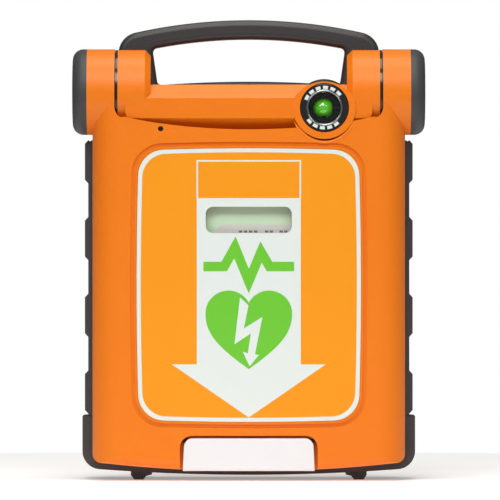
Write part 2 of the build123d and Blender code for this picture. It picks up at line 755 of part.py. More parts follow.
def flag_half(front):
    """One half of the flag ball: the front half shows when the unit is ready."""
    y_range = (FLAG_Y - FLAG_R - 1, FLAG_Y) if front else (FLAG_Y, FLAG_Y + FLAG_R + 1)
    with BuildPart() as half_ball:
        with Locations((FLAG_X, FLAG_Y, STATUS_Z)):
            Sphere(FLAG_R)
        x_range = (FLAG_X - FLAG_R - 1, FLAG_FLAT_X)
        slab(x_range, y_range, (STATUS_Z - FLAG_R - 1, STATUS_Z + FLAG_R + 1), Mode.INTERSECT)
        disc(FLAG_NOTCH_R, y_range, (FLAG_X, STATUS_Z - FLAG_R), Mode.SUBTRACT)
        bar(FLAG_SHAFT_R, (FLAG_X - FLAG_R - 1, FLAG_FLAT_X + 1), (FLAG_Y, STATUS_Z), Mode.SUBTRACT)
    return half_ball.part


write(flag_half(True), "flag_green")
write(flag_half(False), "flag_red")

with BuildPart() as flag_shaft:
    bar(FLAG_SHAFT_R, (COIL_IN, STATUS_X + LENS_R + CUP_WALL - 0.3), (FLAG_Y, STATUS_Z))
write(flag_shaft.part, "flag_shaft")

with BuildPart() as status_coil:
    bar(COIL_R, (COIL_IN, COIL_OUT), (FLAG_Y, STATUS_Z))
    bar(FLAG_SHAFT_R + 0.1, (COIL_IN - 1, COIL_OUT + 1), (FLAG_Y, STATUS_Z), Mode.SUBTRACT)
write(status_coil.part, "status_coil")

# ================================================================ carrying frame
FRAME_SCREWS = ((-72.0, 268.0), (72.0, 268.0), (-30.0, 247.0), (12.0, 247.0))

with BuildPart() as carry_frame:
    crown_side = HEIGHT - bow(FRAME_HALF, CROWN_R)
    with BuildSketch(front_plane(FRAME_BACK)) as frame_face:
        with BuildLine():
            ThreePointArc((-FRAME_HALF, crown_side), (0, HEIGHT), (FRAME_HALF, crown_side))
            Polyline(
                (FRAME_HALF, crown_side),
                (FRAME_HALF, FRAME_LOW_Z),
                (-FRAME_HALF, FRAME_LOW_Z),
                (-FRAME_HALF, crown_side),
            )
        make_face()
        fillet(frame_face.vertices().group_by(Axis.Y)[-1], radius=SHOULDER_R)
    extrude(amount=FRAME_BACK - FRAME_FRONT)
    under = HEIGHT - GRIP_HEIGHT
    gap_side = under - bow(GAP_TOP_HALF, GRIP_UNDER_R)
    with BuildSketch(front_plane(FRAME_BACK)) as hand_gap:
        with BuildLine():
            ThreePointArc((-GAP_TOP_HALF, gap_side), (0, under), (GAP_TOP_HALF, gap_side))
            Line((GAP_TOP_HALF, gap_side), (GAP_LOW_HALF, GAP_LOW_Z))
            ThreePointArc(
                (GAP_LOW_HALF, GAP_LOW_Z), (0, GAP_LOW_Z + GAP_CROWN), (-GAP_LOW_HALF, GAP_LOW_Z)
            )
            Line((-GAP_LOW_HALF, GAP_LOW_Z), (-GAP_TOP_HALF, gap_side))
        make_face()
        fillet(hand_gap.vertices(), radius=3)
        with Locations((STATUS_X, STATUS_Z)):
            Circle(FRAME_BUMP_R, mode=Mode.SUBTRACT)
    extrude(amount=FRAME_BACK - FRAME_FRONT, mode=Mode.SUBTRACT)
    grip_edges = carry_frame.edges().filter_by(
        lambda e: abs(e.bounding_box().size.Y) < 0.01 and e.center().Z > FRAME_LOW_Z + 1
    )
    fillet(grip_edges, radius=GRIP_ROUND)
    for side in (-1, 1):
        bore = ends(side, PIN_END - 2, FRAME_HALF + 1)
        bar(PIN_R + RUNNING_FIT, bore, (HINGE_Y, HINGE_Z), Mode.SUBTRACT)
    for x, z in FRAME_SCREWS:
        disc(SCREW_R, (FRAME_FRONT - 1, FRAME_BACK + 1), (x, z), Mode.SUBTRACT)
        disc(SCREW_HEAD_R, (FRAME_FRONT - 1, FRAME_FRONT + 3), (x, z), Mode.SUBTRACT)
write(carry_frame.part, "carry_frame")

with BuildPart() as frame_screws:
    for x, z in FRAME_SCREWS:
        disc(SCREW_HEAD_R, (FRAME_FRONT + 0.5, FRAME_FRONT + 3), (x, z))
        disc(SCREW_R, (FRAME_FRONT + 3, FRAME_BACK + 7), (x, z))
write(frame_screws.part, "frame_screws")

with BuildPart() as hinge_washers:
    for side in (-1, 1):
        bar(BARREL_R - 0.4, ends(side, POST_OUT, WASHER_OUT), (HINGE_Y, HINGE_Z))
        bar(PIN_R + 0.1, ends(side, POST_OUT, WASHER_OUT), (HINGE_Y, HINGE_Z), Mode.SUBTRACT)
write(hinge_washers.part, "hinge_washers")

# ================================================================ rear shell
main_form = bowed_block(
    HALF, (BASE_FRONT, BACK_Y), (BOTTOM_Z, SHOULDER_Z), (0, REAR_EDGE_R), BOTTOM_CORNER_R
)
upper_form = bowed_block(
    HALF, (REAR_BLOCK_Y, BACK_Y), (BOTTOM_Z, REAR_TOP_Z), (0, REAR_EDGE_R), BOTTOM_CORNER_R
)

with BuildPart() as rear_cavity:
    add(
        bowed_block(
            HALF - WALL,
            (BASE_FRONT, BACK_Y - WALL),
            (BOTTOM_Z + WALL, SHOULDER_Z - WALL),
            (0, REAR_EDGE_R - WALL),
            BOTTOM_CORNER_R - WALL,
        )
    )
    slab(
        (-HALF + 6, HALF - 6),
        (REAR_BLOCK_Y + WALL, BACK_Y - WALL - 3),
        (SHOULDER_Z - WALL - 1, REAR_TOP_Z - WALL),
    )
    slab(
        (-GAP_LOW_HALF, GAP_LOW_HALF),
        (FRAME_BACK + WALL, REAR_BLOCK_Y + 5),
        (SHOULDER_Z - WALL - 1, SADDLE_Z - WALL),
    )
    # walls of the battery bay, screw bosses and board posts stay
    slab(
        (-BAY_HALF - BAY_WALL, BAY_HALF + BAY_WALL),
        (BAY_FRONT - BAY_WALL, PAD_Y),
        (BAY_LOW - BAY_WALL, BAY_HIGH + BAY_WALL),
        Mode.SUBTRACT,
    )
    for x in (-SCREW_X, SCREW_X):
        for z in SCREW_Z:
            disc(4.0, (DECK_BACK, PAD_Y), (x, z), Mode.SUBTRACT)
    for x in (-BOARD_HALF + 6, BOARD_HALF - 6):
        for z in (BOARD_LOW + 4, BOARD_HIGH - 4):
            disc(3.0, (BOARD_BACK, PAD_Y), (x, z), Mode.SUBTRACT)
    for x, z in FRAME_SCREWS[2:]:
        disc(4.5, (FRAME_BACK, FRAME_BACK + 9), (x, z), Mode.SUBTRACT)

with BuildPart() as rear_shell:
    add(main_form)
    add(upper_form)
    slab((-POST_OUT, POST_OUT), (FRAME_BACK, REAR_BLOCK_Y + 1), (SHOULDER_Z - 1, SADDLE_Z))
    crest_y = BARREL_R * math.sqrt(0.5)
    for side in (-1, 1):
        post_start = sorted((side * (POST_IN - POST_BEVEL), side * POST_OUT))[0]
        top_at_frame = HINGE_Z + math.sqrt(BARREL_R**2 - (FRAME_BACK - HINGE_Y) ** 2)
        crest = (HINGE_Y + crest_y, HINGE_Z + crest_y)
        mid_y = (FRAME_BACK + crest[0]) / 2
        mid_z = HINGE_Z + math.sqrt(BARREL_R**2 - (mid_y - HINGE_Y) ** 2)
        with BuildSketch(Plane.YZ.offset(post_start)) as rear_post:
            with BuildLine():
                ThreePointArc((FRAME_BACK, top_at_frame), (mid_y, mid_z), crest)
                Polyline(
                    crest,
                    (REAR_BLOCK_Y + 3, REAR_TOP_Z - 0.5),
                    (REAR_BLOCK_Y + 3, SHOULDER_Z),
                    (FRAME_BACK, SHOULDER_Z),
                    (FRAME_BACK, top_at_frame),
                )
            make_face()
        extrude(rear_post.sketch, amount=POST_OUT - POST_IN + POST_BEVEL)
    top_edges = rear_shell.faces().filter_by(Axis.Z).sort_by(Axis.Z)[-1].edges()
    fillet(top_edges.filter_by(lambda e: e.center().Y > REAR_BLOCK_Y + 4), radius=REAR_TOP_R)
    add(rear_cavity.part, mode=Mode.SUBTRACT)
    # room for the bridge cover's foot, the battery and the pieces let into the back
    slab(
        (-BRIDGE_HALF - 0.3, BRIDGE_HALF + 0.3),
        (BASE_FRONT - 1, BRIDGE_BACK + 0.1),
        (SHOULDER_Z - WALL - 6, HEIGHT),
        Mode.SUBTRACT,
    )
    slab((-BAY_HALF, BAY_HALF), (BAY_FRONT, PAD_Y), (BAY_LOW, BAY_HIGH), Mode.SUBTRACT)
    slab(
        (-CONTACT_HALF, CONTACT_HALF),
        (BAY_FRONT - BAY_WALL - 1, BAY_FRONT + 1),
        CONTACT_Z,
        Mode.SUBTRACT,
    )
    for x in (-SCREW_X, SCREW_X):
        for z in SCREW_Z:
            disc(SCREW_R, (DECK_BACK - 1, DECK_BACK + 9), (x, z), Mode.SUBTRACT)
    for x, z in FRAME_SCREWS:
        disc(SCREW_R, (FRAME_BACK - 1, FRAME_BACK + 7), (x, z), Mode.SUBTRACT)
    slab((-PLATE_HALF, PLATE_HALF), (BACK_Y - PLATE_THICK, PAD_Y), PLATE_Z, Mode.SUBTRACT)
    disc(VENT_R, (BACK_Y - VENT_SINK - VENT_THICK, PAD_Y), VENT_AT, Mode.SUBTRACT)
    disc(1.0, (BACK_Y - WALL - 1, PAD_Y), VENT_AT, Mode.SUBTRACT)
write(rear_shell.part, "rear_shell")

with BuildPart() as rating_plate:
    plate_half = PLATE_HALF - PLATE_FIT
    plate_z = (PLATE_Z[0] + PLATE_FIT, PLATE_Z[1] - PLATE_FIT)
    slab((-plate_half, plate_half), (BACK_Y - PLATE_THICK, BACK_Y), plate_z)
write(rating_plate.part, "rating_plate")

with BuildPart() as pressure_vent:
    disc(VENT_R, (BACK_Y - VENT_SINK - VENT_THICK, BACK_Y - VENT_SINK), VENT_AT)
write(pressure_vent.part, "pressure_vent")

# ================================================================ rubber guards and feet
with BuildPart() as bottom_bumper:
    add(
        bowed_block(
            BUMPER_HALF,
            (BASE_FRONT, BACK_Y),
            (BUMPER_LOW, BUMPER_TOP),
            (0, REAR_EDGE_R + 6),
            BUMPER_CORNER,
            BUMPER_BOW_R,
        )
    )
    add(main_form, mode=Mode.SUBTRACT)
    for side in (-1, 1):
        slab(
            ends(side, FOOT_IN, FOOT_OUT), (FOOT_FRONT, FOOT_BACK), (0, FOOT_TOP), Mode.SUBTRACT
        )
write(bottom_bumper.part, "bottom_bumper")

for side, name in ((-1, "side_rail_left"), (1, "side_rail_right")):
    rail_points = [(HALF, RAIL_LOW), (RAIL_FACE, RAIL_LOW)]
    for n in range(RAIL_COUNT):
        low = RAIL_FIRST + n * RAIL_PITCH
        high = low + RAIL_PAD_LONG
        rail_points.append((RAIL_FACE, low))
        rail_points.append((RAIL_PAD, low + RAIL_FLANK))
        rail_points.append((RAIL_PAD, high - RAIL_FLANK))
        rail_points.append((RAIL_FACE, high))
    rail_points.append((RAIL_FACE, RAIL_HIGH - 2))
    rail_points.append((RAIL_FACE - 2, RAIL_HIGH))
    rail_points.append((HALF, RAIL_HIGH))
    with BuildPart() as side_rail:
        with BuildSketch(front_plane(RAIL_BACK)) as rail_face:
            with BuildLine():
                Polyline([(side * x, z) for x, z in rail_points], close=True)
            make_face()
        extrude(rail_face.sketch, amount=RAIL_BACK - BASE_FRONT)
        add(main_form, mode=Mode.SUBTRACT)
    write(side_rail.part, name)

for side, name in ((-1, "foot_left"), (1, "foot_right")):
    foot_points = (
        (FOOT_IN, FOOT_TOP),
        (FOOT_IN, 3.2),
        (FOOT_IN + 3.4, 2.4),
        (SOLE_IN, 0),
        (SOLE_OUT, 0),
        (FOOT_OUT, 3.0),
        (FOOT_OUT, FOOT_TOP),
    )
    with BuildPart() as foot:
        with BuildSketch(front_plane(FOOT_BACK)) as foot_face:
            with BuildLine():
                Polyline([(side * x, z) for x, z in foot_points], close=True)
            make_face()
        extrude(foot_face.sketch, amount=FOOT_BACK - FOOT_FRONT)
        add(main_form, mode=Mode.SUBTRACT)
    write(foot.part, name)

with BuildPart() as rear_pads:
    for x in (-REAR_PAD_X, REAR_PAD_X):
        for z in REAR_PAD_Z:
            disc(REAR_PAD_R, (BACK_Y, PAD_Y), (x, z))
    fillet(rear_pads.faces().filter_by(Axis.Y).group_by(Axis.Y)[-1].edges(), radius=0.8)
write(rear_pads.part, "rear_pads")

# ================================================================ deck and what is set in it
socket_x = (SOCKET_AT[0] - SOCKET_SIZE[0] / 2, SOCKET_AT[0] + SOCKET_SIZE[0] / 2)
socket_z = (SOCKET_AT[1] - SOCKET_SIZE[1] / 2, SOCKET_AT[1] + SOCKET_SIZE[1] / 2)
display_x = (-DISPLAY_SIZE[0] / 2, DISPLAY_SIZE[0] / 2)
display_z = (DISPLAY_AT[1] - DISPLAY_SIZE[1] / 2, DISPLAY_AT[1] + DISPLAY_SIZE[1] / 2)

with BuildPart() as deck_panel:
    add(deck_form(0, (DECK_FRONT, DECK_BACK)))
    disc(SHOCK_R + BUTTON_FIT, (DECK_FRONT - 1, DECK_BACK + 1), SHOCK_AT, Mode.SUBTRACT)
    disc(INFO_R + BUTTON_FIT, (DECK_FRONT - 1, DECK_BACK + 1), INFO_AT, Mode.SUBTRACT)
    slab(display_x, (DECK_FRONT - 1, DECK_BACK + 1), display_z, Mode.SUBTRACT)
    slab(socket_x, (DECK_FRONT - 1, DECK_BACK + 1), socket_z, Mode.SUBTRACT)
    slab((-SLOT_HALF, SLOT_HALF), (DECK_FRONT - 1, DECK_BACK + 1), (0, SLOT_TOP), Mode.SUBTRACT)
    with BuildSketch(front_plane(DECK_BACK + 1)) as grille:
        with Locations(SPEAKER_AT):
            Circle(GRILLE_HOLE_R)
            with PolarLocations(6, 6):
                Circle(GRILLE_HOLE_R)
            with PolarLocations(12, 12):
                Circle(GRILLE_HOLE_R)
    extrude(grille.sketch, amount=DECK_BACK - DECK_FRONT + 2, mode=Mode.SUBTRACT)
    for x in (-SCREW_X, SCREW_X):
        for z in SCREW_Z:
            disc(SCREW_R, (DECK_FRONT - 1, DECK_BACK + 1), (x, z), Mode.SUBTRACT)
write(deck_panel.part, "deck_panel")

with BuildPart() as case_gasket:
    gasket_edge = 0.2
    add(deck_form(gasket_edge, (GASKET_FRONT, DECK_FRONT)))
    add(deck_form(gasket_edge + GASKET_WIDTH, (GASKET_FRONT - 1, DECK_FRONT + 1)), mode=Mode.SUBTRACT)
    # it runs up and over the latch's slot and striker
    loop = SLOT_HALF + GASKET_WIDTH
    loop_low = BOTTOM_Z + WALL + DECK_FIT + gasket_edge
    loop_top = STRIKER_HIGH + GASKET_WIDTH
    slab((-loop, loop), (GASKET_FRONT, DECK_FRONT), (loop_low, loop_top + GASKET_WIDTH))
    slab((-SLOT_HALF, SLOT_HALF), (GASKET_FRONT - 1, DECK_FRONT + 1), (0, loop_top), Mode.SUBTRACT)
write(case_gasket.part, "case_gasket")

with BuildPart() as deck_screws:
    for x in (-SCREW_X, SCREW_X):
        for z in SCREW_Z:
            disc(SCREW_HEAD_R, (DECK_FRONT - 1.4, DECK_FRONT), (x, z))
            disc(SCREW_R, (DECK_FRONT, DECK_BACK + 8), (x, z))
write(deck_screws.part, "deck_screws")

with BuildPart() as latch_striker:
    slab(
        (-STRIKER_HALF, STRIKER_HALF),
        (DECK_FRONT - STRIKER_THICK, DECK_FRONT),
        (STRIKER_LOW, STRIKER_HIGH),
    )
write(latch_striker.part, "latch_striker")

with BuildPart() as display_window:
    slab(display_x, (DECK_FRONT, DECK_BACK), display_z)
write(display_window.part, "display_window")

with BuildPart() as display_module:
    slab((-36, 36), (DECK_BACK + 0.2, -6), (DISPLAY_AT[1] - 18, DISPLAY_AT[1] + 18))
write(display_module.part, "display_module")

with BuildPart() as speaker:
    disc(SPEAKER_R, (DECK_BACK + 0.2, -8.5), SPEAKER_AT)
    disc(11.0, (-8.5, -1.0), SPEAKER_AT)
    disc(SPEAKER_R - 3, (DECK_BACK, -10.5), SPEAKER_AT, Mode.SUBTRACT)
write(speaker.part, "speaker")

with BuildPart() as pads_socket:
    slab(socket_x, (DECK_FRONT, 0), socket_z)
    slab(
        (socket_x[0] + 2, socket_x[1] - 2),
        (DECK_FRONT - 1, -5),
        (socket_z[0] + 2, socket_z[1] - 2),
        Mode.SUBTRACT,
    )
    for x in (SOCKET_AT[0] - 4.5, SOCKET_AT[0] + 4.5):
        disc(0.9, (-7, -5), (x, SOCKET_AT[1]))
write(pads_socket.part, "pads_socket")


def push_button(radius, front, stem_r, stem_end, at):
    """A round button with the flange that holds it behind the deck, and its stem."""
    flange = DECK_BACK + 0.2
    with BuildPart() as button:
        disc(radius, (front, flange), at)
        fillet(button.faces().sort_by(Axis.Y)[0].edges(), radius=1.0)
        disc(radius + 1.5, (flange, flange + BUTTON_FLANGE), at)
        disc(stem_r, (flange, stem_end), at)
    return button.part


write(push_button(SHOCK_R, SHOCK_FRONT, 4.0, SHOCK_STEM_END, SHOCK_AT), "shock_button")
write(push_button(INFO_R, INFO_FRONT, 2.5, INFO_STEM_END, INFO_AT), "info_button")

flange_back = DECK_BACK + 0.2 + BUTTON_FLANGE

with BuildPart() as shock_switch:
    switch_front = SHOCK_STEM_END + SHOCK_TRAVEL + SWITCH_GAP
    slab(
        (SHOCK_AT[0] - 5, SHOCK_AT[0] + 5),
        (switch_front, BOARD_FRONT),
        (SHOCK_AT[1] - 5, SHOCK_AT[1] + 5),
    )
write(shock_switch.part, "shock_switch")

with BuildPart() as info_switch:
    switch_front = INFO_STEM_END + INFO_TRAVEL + SWITCH_GAP
    slab(
        (INFO_AT[0] - 3, INFO_AT[0] + 3),
        (switch_front, BOARD_FRONT),
        (INFO_AT[1] - 3, INFO_AT[1] + 3),
    )
write(info_switch.part, "info_switch")

with BuildPart() as shock_button_spring:
    start = (SHOCK_AT[0], flange_back + 0.6, SHOCK_AT[1])
    coil(9.0, 0.5, 3.0, BOARD_FRONT - flange_back - 1.2, start, (0, 1, 0))
write(shock_button_spring.part, "shock_button_spring")

with BuildPart() as info_button_spring:
    start = (INFO_AT[0], flange_back + 0.5, INFO_AT[1])
    coil(5.4, 0.4, 3.0, BOARD_FRONT - flange_back - 1.0, start, (0, 1, 0))
write(info_button_spring.part, "info_button_spring")

with BuildPart() as lid_sensor:
    bar(1.5, (MAGNET_AT[0] - 7, MAGNET_AT[0] + 7), (DECK_BACK + 2, MAGNET_AT[1]))
write(lid_sensor.part, "lid_sensor")

# ================================================================ electronics and battery
with BuildPart() as main_board:
    slab((-BOARD_HALF, BOARD_HALF), (BOARD_FRONT, BOARD_BACK), (BOARD_LOW, BOARD_HIGH))
    # processor, memory, power stage, connector and oscillator, each standing off the front
    slab((-30, -12), (BOARD_FRONT - 1.8, BOARD_FRONT), (176, 194))
    slab((10, 22), (BOARD_FRONT - 1.8, BOARD_FRONT), (178, 190))
    slab((55, 75), (BOARD_FRONT - 3.0, BOARD_FRONT), (120, 132))
    slab((-76, -62), (BOARD_FRONT - 4.0, BOARD_FRONT), (120, 140))
    slab((-8, 8), (BOARD_FRONT - 2.4, BOARD_FRONT), (100, 110))
write(main_board.part, "main_board")

with BuildPart() as hv_capacitor:
    bar(CAPACITOR_R, CAPACITOR_X, (CAPACITOR_Y, CAPACITOR_Z))
    fillet(hv_capacitor.edges().filter_by(GeomType.CIRCLE), radius=1.5)
write(hv_capacitor.part, "hv_capacitor")

with BuildPart() as capacitor_strap:
    bar(CAPACITOR_R + 1.3, (-20, -8), (CAPACITOR_Y, CAPACITOR_Z))
    bar(CAPACITOR_R + 0.1, (-21, -7), (CAPACITOR_Y, CAPACITOR_Z), Mode.SUBTRACT)
write(capacitor_strap.part, "capacitor_strap")

with BuildPart() as charge_transformer:
    slab(TRANSFORMER_X, (BOARD_BACK, BOARD_BACK + 24), TRANSFORMER_Z)
    fillet(charge_transformer.edges().filter_by(Axis.Y), radius=2)
write(charge_transformer.part, "charge_transformer")

with BuildPart() as shock_relay:
    slab(RELAY_X, (BOARD_BACK, BOARD_BACK + 18), RELAY_Z)
write(shock_relay.part, "shock_relay")

with BuildPart() as output_heatsink:
    slab(HEATSINK_X, (BOARD_BACK, BOARD_BACK + 3), HEATSINK_Z)
    fin_pitch = (HEATSINK_X[1] - HEATSINK_X[0] - 1.0) / (FIN_COUNT - 1)
    for n in range(FIN_COUNT):
        fin = HEATSINK_X[0] + n * fin_pitch
        slab((fin, fin + 1.0), (BOARD_BACK + 2, BOARD_BACK + 19), HEATSINK_Z)
write(output_heatsink.part, "output_heatsink")

battery_x = (-BAY_HALF + BATTERY_GAP, BAY_HALF - BATTERY_GAP)
battery_z = (BAY_LOW + BATTERY_GAP, BAY_HIGH - BATTERY_GAP)
battery_front = BAY_FRONT + 1.0

with BuildPart() as battery_case:
    slab(battery_x, (battery_front, BACK_Y), battery_z)
    fillet(battery_case.edges().filter_by(Axis.Y), radius=1.5)
    slab(
        (battery_x[0] + BATTERY_WALL, battery_x[1] - BATTERY_WALL),
        (battery_front + BATTERY_WALL, BACK_Y - BATTERY_WALL),
        (battery_z[0] + BATTERY_WALL, battery_z[1] - BATTERY_TOP_ROOM),
        Mode.SUBTRACT,
    )
    clip_room = (battery_z[1] - 3, BAY_HIGH + 1)
    slab((-CLIP_HALF - 0.5, CLIP_HALF + 0.5), (36, PAD_Y), clip_room, Mode.SUBTRACT)
    for z in RIB_Z:
        slab((-RIB_HALF, RIB_HALF), (BACK_Y, BACK_Y + 0.8), (z, z + 2))
write(battery_case.part, "battery_case")

with BuildPart() as battery_cells:
    first = -CELL_PITCH * (CELL_COUNT - 1) / 2
    for n in range(CELL_COUNT):
        with BuildSketch(Plane.XY.offset(battery_z[0] + 2.5)) as cell:
            with Locations((first + n * CELL_PITCH, (battery_front + BACK_Y) / 2)):
                Circle(CELL_R)
        extrude(cell.sketch, amount=CELL_LONG)
write(battery_cells.part, "battery_cells")

with BuildPart() as battery_clip:
    slab((-CLIP_HALF, CLIP_HALF), (CLIP_TONGUE, BACK_Y), (BAY_HIGH - CLIP_THICK, BAY_HIGH))
    slab((-CLIP_HALF, CLIP_HALF), (CLIP_HOOK, CLIP_HOOK + 1.5), (battery_z[1] - 2.4, BAY_HIGH))
write(battery_clip.part, "battery_clip")

with BuildPart() as battery_contacts:
    slab(
        (-CONTACT_HALF, CONTACT_HALF),
        (BOARD_BACK, BAY_FRONT),
        CONTACT_Z,
    )
    for x in CONTACT_X:
        slab(
            (x - CONTACT_PAD_HALF, x + CONTACT_PAD_HALF),
            (BAY_FRONT, battery_front - 0.1),
            (CONTACT_Z[0] + 2, CONTACT_Z[1] - 2),
        )
write(battery_contacts.part, "battery_contacts")
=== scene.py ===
# %% [markdown]
# An automated external defibrillator, dressed for looking at. The rigid model is read from
# model.glb and never moves. This lesson gives every surface its finish, prints the label
# and the signs, and makes the soft pieces, the springs and the finest trim.

# %% Load the rigid model
import math
import json

import bpy
import bmesh
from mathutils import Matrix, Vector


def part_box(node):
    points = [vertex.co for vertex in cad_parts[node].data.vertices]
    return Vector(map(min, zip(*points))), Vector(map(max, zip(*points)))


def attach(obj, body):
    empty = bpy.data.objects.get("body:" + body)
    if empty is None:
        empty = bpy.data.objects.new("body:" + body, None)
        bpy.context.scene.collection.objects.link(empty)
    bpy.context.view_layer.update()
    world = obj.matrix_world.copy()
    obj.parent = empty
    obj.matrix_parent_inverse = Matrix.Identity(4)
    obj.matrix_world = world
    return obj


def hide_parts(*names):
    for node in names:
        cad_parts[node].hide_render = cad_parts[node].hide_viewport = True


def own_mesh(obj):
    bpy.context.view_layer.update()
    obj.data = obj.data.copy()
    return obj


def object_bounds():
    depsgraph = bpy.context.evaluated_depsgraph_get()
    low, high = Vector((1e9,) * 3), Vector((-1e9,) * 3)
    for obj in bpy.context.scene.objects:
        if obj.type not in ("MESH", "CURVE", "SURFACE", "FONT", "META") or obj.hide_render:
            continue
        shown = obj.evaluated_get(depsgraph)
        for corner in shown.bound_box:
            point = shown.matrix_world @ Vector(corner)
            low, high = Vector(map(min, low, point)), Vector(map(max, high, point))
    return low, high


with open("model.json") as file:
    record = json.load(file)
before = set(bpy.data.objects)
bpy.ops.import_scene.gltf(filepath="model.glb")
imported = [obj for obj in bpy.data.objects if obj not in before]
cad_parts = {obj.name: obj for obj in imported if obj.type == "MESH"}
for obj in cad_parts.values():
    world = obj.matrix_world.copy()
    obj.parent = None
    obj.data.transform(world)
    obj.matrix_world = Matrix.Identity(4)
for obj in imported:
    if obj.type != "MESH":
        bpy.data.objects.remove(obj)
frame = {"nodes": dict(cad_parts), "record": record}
nodes = frame["nodes"]
cad_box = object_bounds()
MM = 0.001
label_low, label_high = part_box("label_panel")
case_low, case_high = cad_box
print("case size in mm:", [round((b - a) / MM, 1) for a, b in zip(case_low, case_high)])

# %% [markdown]
# A long lens from well back keeps the case almost free of perspective, as a product picture
# does. The camera looks level at the middle of the case, from a hair to its right.

# %% Camera
LENS = 500.0
SENSOR = 36.0
WIDE = 0.325
ASIDE = 0.8 * MM
distance = WIDE * LENS / SENSOR
middle_x = (case_low[0] + case_high[0]) / 2 + ASIDE
middle_z = (case_low[2] + case_high[2]) / 2
bpy.ops.object.camera_add(
    location=(middle_x, case_low[1] - distance, middle_z),
    rotation=(math.radians(90), 0, 0),
)
camera = bpy.context.object
camera.data.lens = LENS
camera.data.clip_end = 30
bpy.context.scene.camera = camera
bpy.context.scene.view_settings.view_transform = "Standard"
print("camera stands", round(distance, 3), "m from the lid")

# %% [markdown]
# Soft studio light: a big panel above and in front, a smaller and nearer one, slightly warm,
# that gives the barrels and the bridge their sheen, another straight above for the tops of
# the barrels and the grip, and a small one on each side for the glints. The surround is white
# to the camera and gives only a weak fill, so that the facets keep their shade.

# %% Light
surround = bpy.data.worlds.new("surround")
surround.use_nodes = True
sky = surround.node_tree.nodes["Background"]
sky.inputs["Color"].default_value = (1, 1, 1, 1)
FILL = 0.22
seen = surround.node_tree.nodes.new("ShaderNodeLightPath")
level = surround.node_tree.nodes.new("ShaderNodeMapRange")
level.inputs["To Min"].default_value = FILL
level.inputs["To Max"].default_value = 1.0
surround.node_tree.links.new(seen.outputs["Is Camera Ray"], level.inputs["Value"])
surround.node_tree.links.new(level.outputs["Result"], sky.inputs["Strength"])
bpy.context.scene.world = surround


def light_panel(name, place, size, power, target=(0, 0, 0.15), colour=(1, 1, 1)):
    """A square panel light aimed at the case."""
    bpy.ops.object.light_add(type="AREA", location=place)
    panel = bpy.context.object
    panel.name = name
    panel.data.size = size
    panel.data.energy = power
    panel.data.color = colour
    aim = [t - p for t, p in zip(target, place)]
    flat = math.hypot(aim[0], aim[1])
    panel.rotation_euler = (
        math.pi / 2 + math.atan2(aim[2], flat),
        0,
        math.atan2(aim[1], aim[0]) - math.pi / 2,
    )


WARM = (1.0, 0.96, 0.88)
light_panel("key_panel", (-0.3, -1.3, 1.35), 0.9, 7.9)
light_panel("sheen_panel", (0, -0.6, 0.74), 0.3, 1.7, target=(0, 0, 0.25), colour=WARM)
light_panel("top_panel", (0.0, -0.15, 1.5), 0.8, 9, colour=WARM)
light_panel("left_panel", (-0.78, -1.25, 0.9), 0.32, 2.4)
light_panel("right_panel", (0.86, -1.25, 0.9), 0.32, 2.4)

# %% [markdown]
# The case stands on a plain pale table top, a filled circle wide enough to take its shadow.

# %% Floor
FLOOR_R = 0.6
bpy.ops.mesh.primitive_circle_add(vertices=96, radius=FLOOR_R, fill_type="NGON", location=(0, 0, 0))
floor = bpy.context.object
floor.name = "floor"
print("floor is", round(2 * FLOOR_R, 1), "m across")

# %% [markdown]
# Three effects are shared by many finishes, so they are built once, in two node groups. One
# holds the fine spark-eroded grain of a moulded part. The other holds the slow drift of
# colour over a large surface and the faint scuffs that handling leaves.

# %% Shared effects


def new_group(name, inputs, outputs):
    """An empty shader group with named sockets. Inputs are (name, kind, value)."""
    group = bpy.data.node_groups.new(name, "ShaderNodeTree")
    for label, kind, value in inputs:
        socket = group.interface.new_socket(label, in_out="INPUT", socket_type=kind)
        socket.default_value = value
    for label, kind in outputs:
        group.interface.new_socket(label, in_out="OUTPUT", socket_type=kind)
    start = group.nodes.new("NodeGroupInput")
    end = group.nodes.new("NodeGroupOutput")
    return group, start, end


grain, grain_in, grain_out = new_group(
    "moulded_grain",
    [
        ("Scale", "NodeSocketFloat", 900.0),
        ("Depth", "NodeSocketFloat", 0.1),
        ("Roughness", "NodeSocketFloat", 0.4),
        ("Spread", "NodeSocketFloat", 0.06),
    ],
    [("Roughness", "NodeSocketFloat"), ("Normal", "NodeSocketVector")],
)
place = grain.nodes.new("ShaderNodeTexCoord")
fine = grain.nodes.new("ShaderNodeTexNoise")
fine.inputs["Detail"].default_value = 3
broad = grain.nodes.new("ShaderNodeTexNoise")
broad.inputs["Scale"].default_value = 35
bump = grain.nodes.new("ShaderNodeBump")
bump.inputs["Distance"].default_value = 0.0004
centred = grain.nodes.new("ShaderNodeMath")
centred.operation = "SUBTRACT"
centred.inputs[1].default_value = 0.5
rough = grain.nodes.new("ShaderNodeMath")
rough.operation = "MULTIPLY_ADD"
grain.links.new(place.outputs["Object"], fine.inputs["Vector"])
grain.links.new(place.outputs["Object"], broad.inputs["Vector"])
grain.links.new(grain_in.outputs["Scale"], fine.inputs["Scale"])
grain.links.new(grain_in.outputs["Depth"], bump.inputs["Strength"])
grain.links.new(fine.outputs["Fac"], bump.inputs["Height"])
grain.links.new(broad.outputs["Fac"], centred.inputs[0])
grain.links.new(centred.outputs[0], rough.inputs[0])
grain.links.new(grain_in.outputs["Spread"], rough.inputs[1])
grain.links.new(grain_in.outputs["Roughness"], rough.inputs[2])
grain.links.new(rough.outputs[0], grain_out.inputs["Roughness"])
grain.links.new(bump.outputs["Normal"], grain_out.inputs["Normal"])

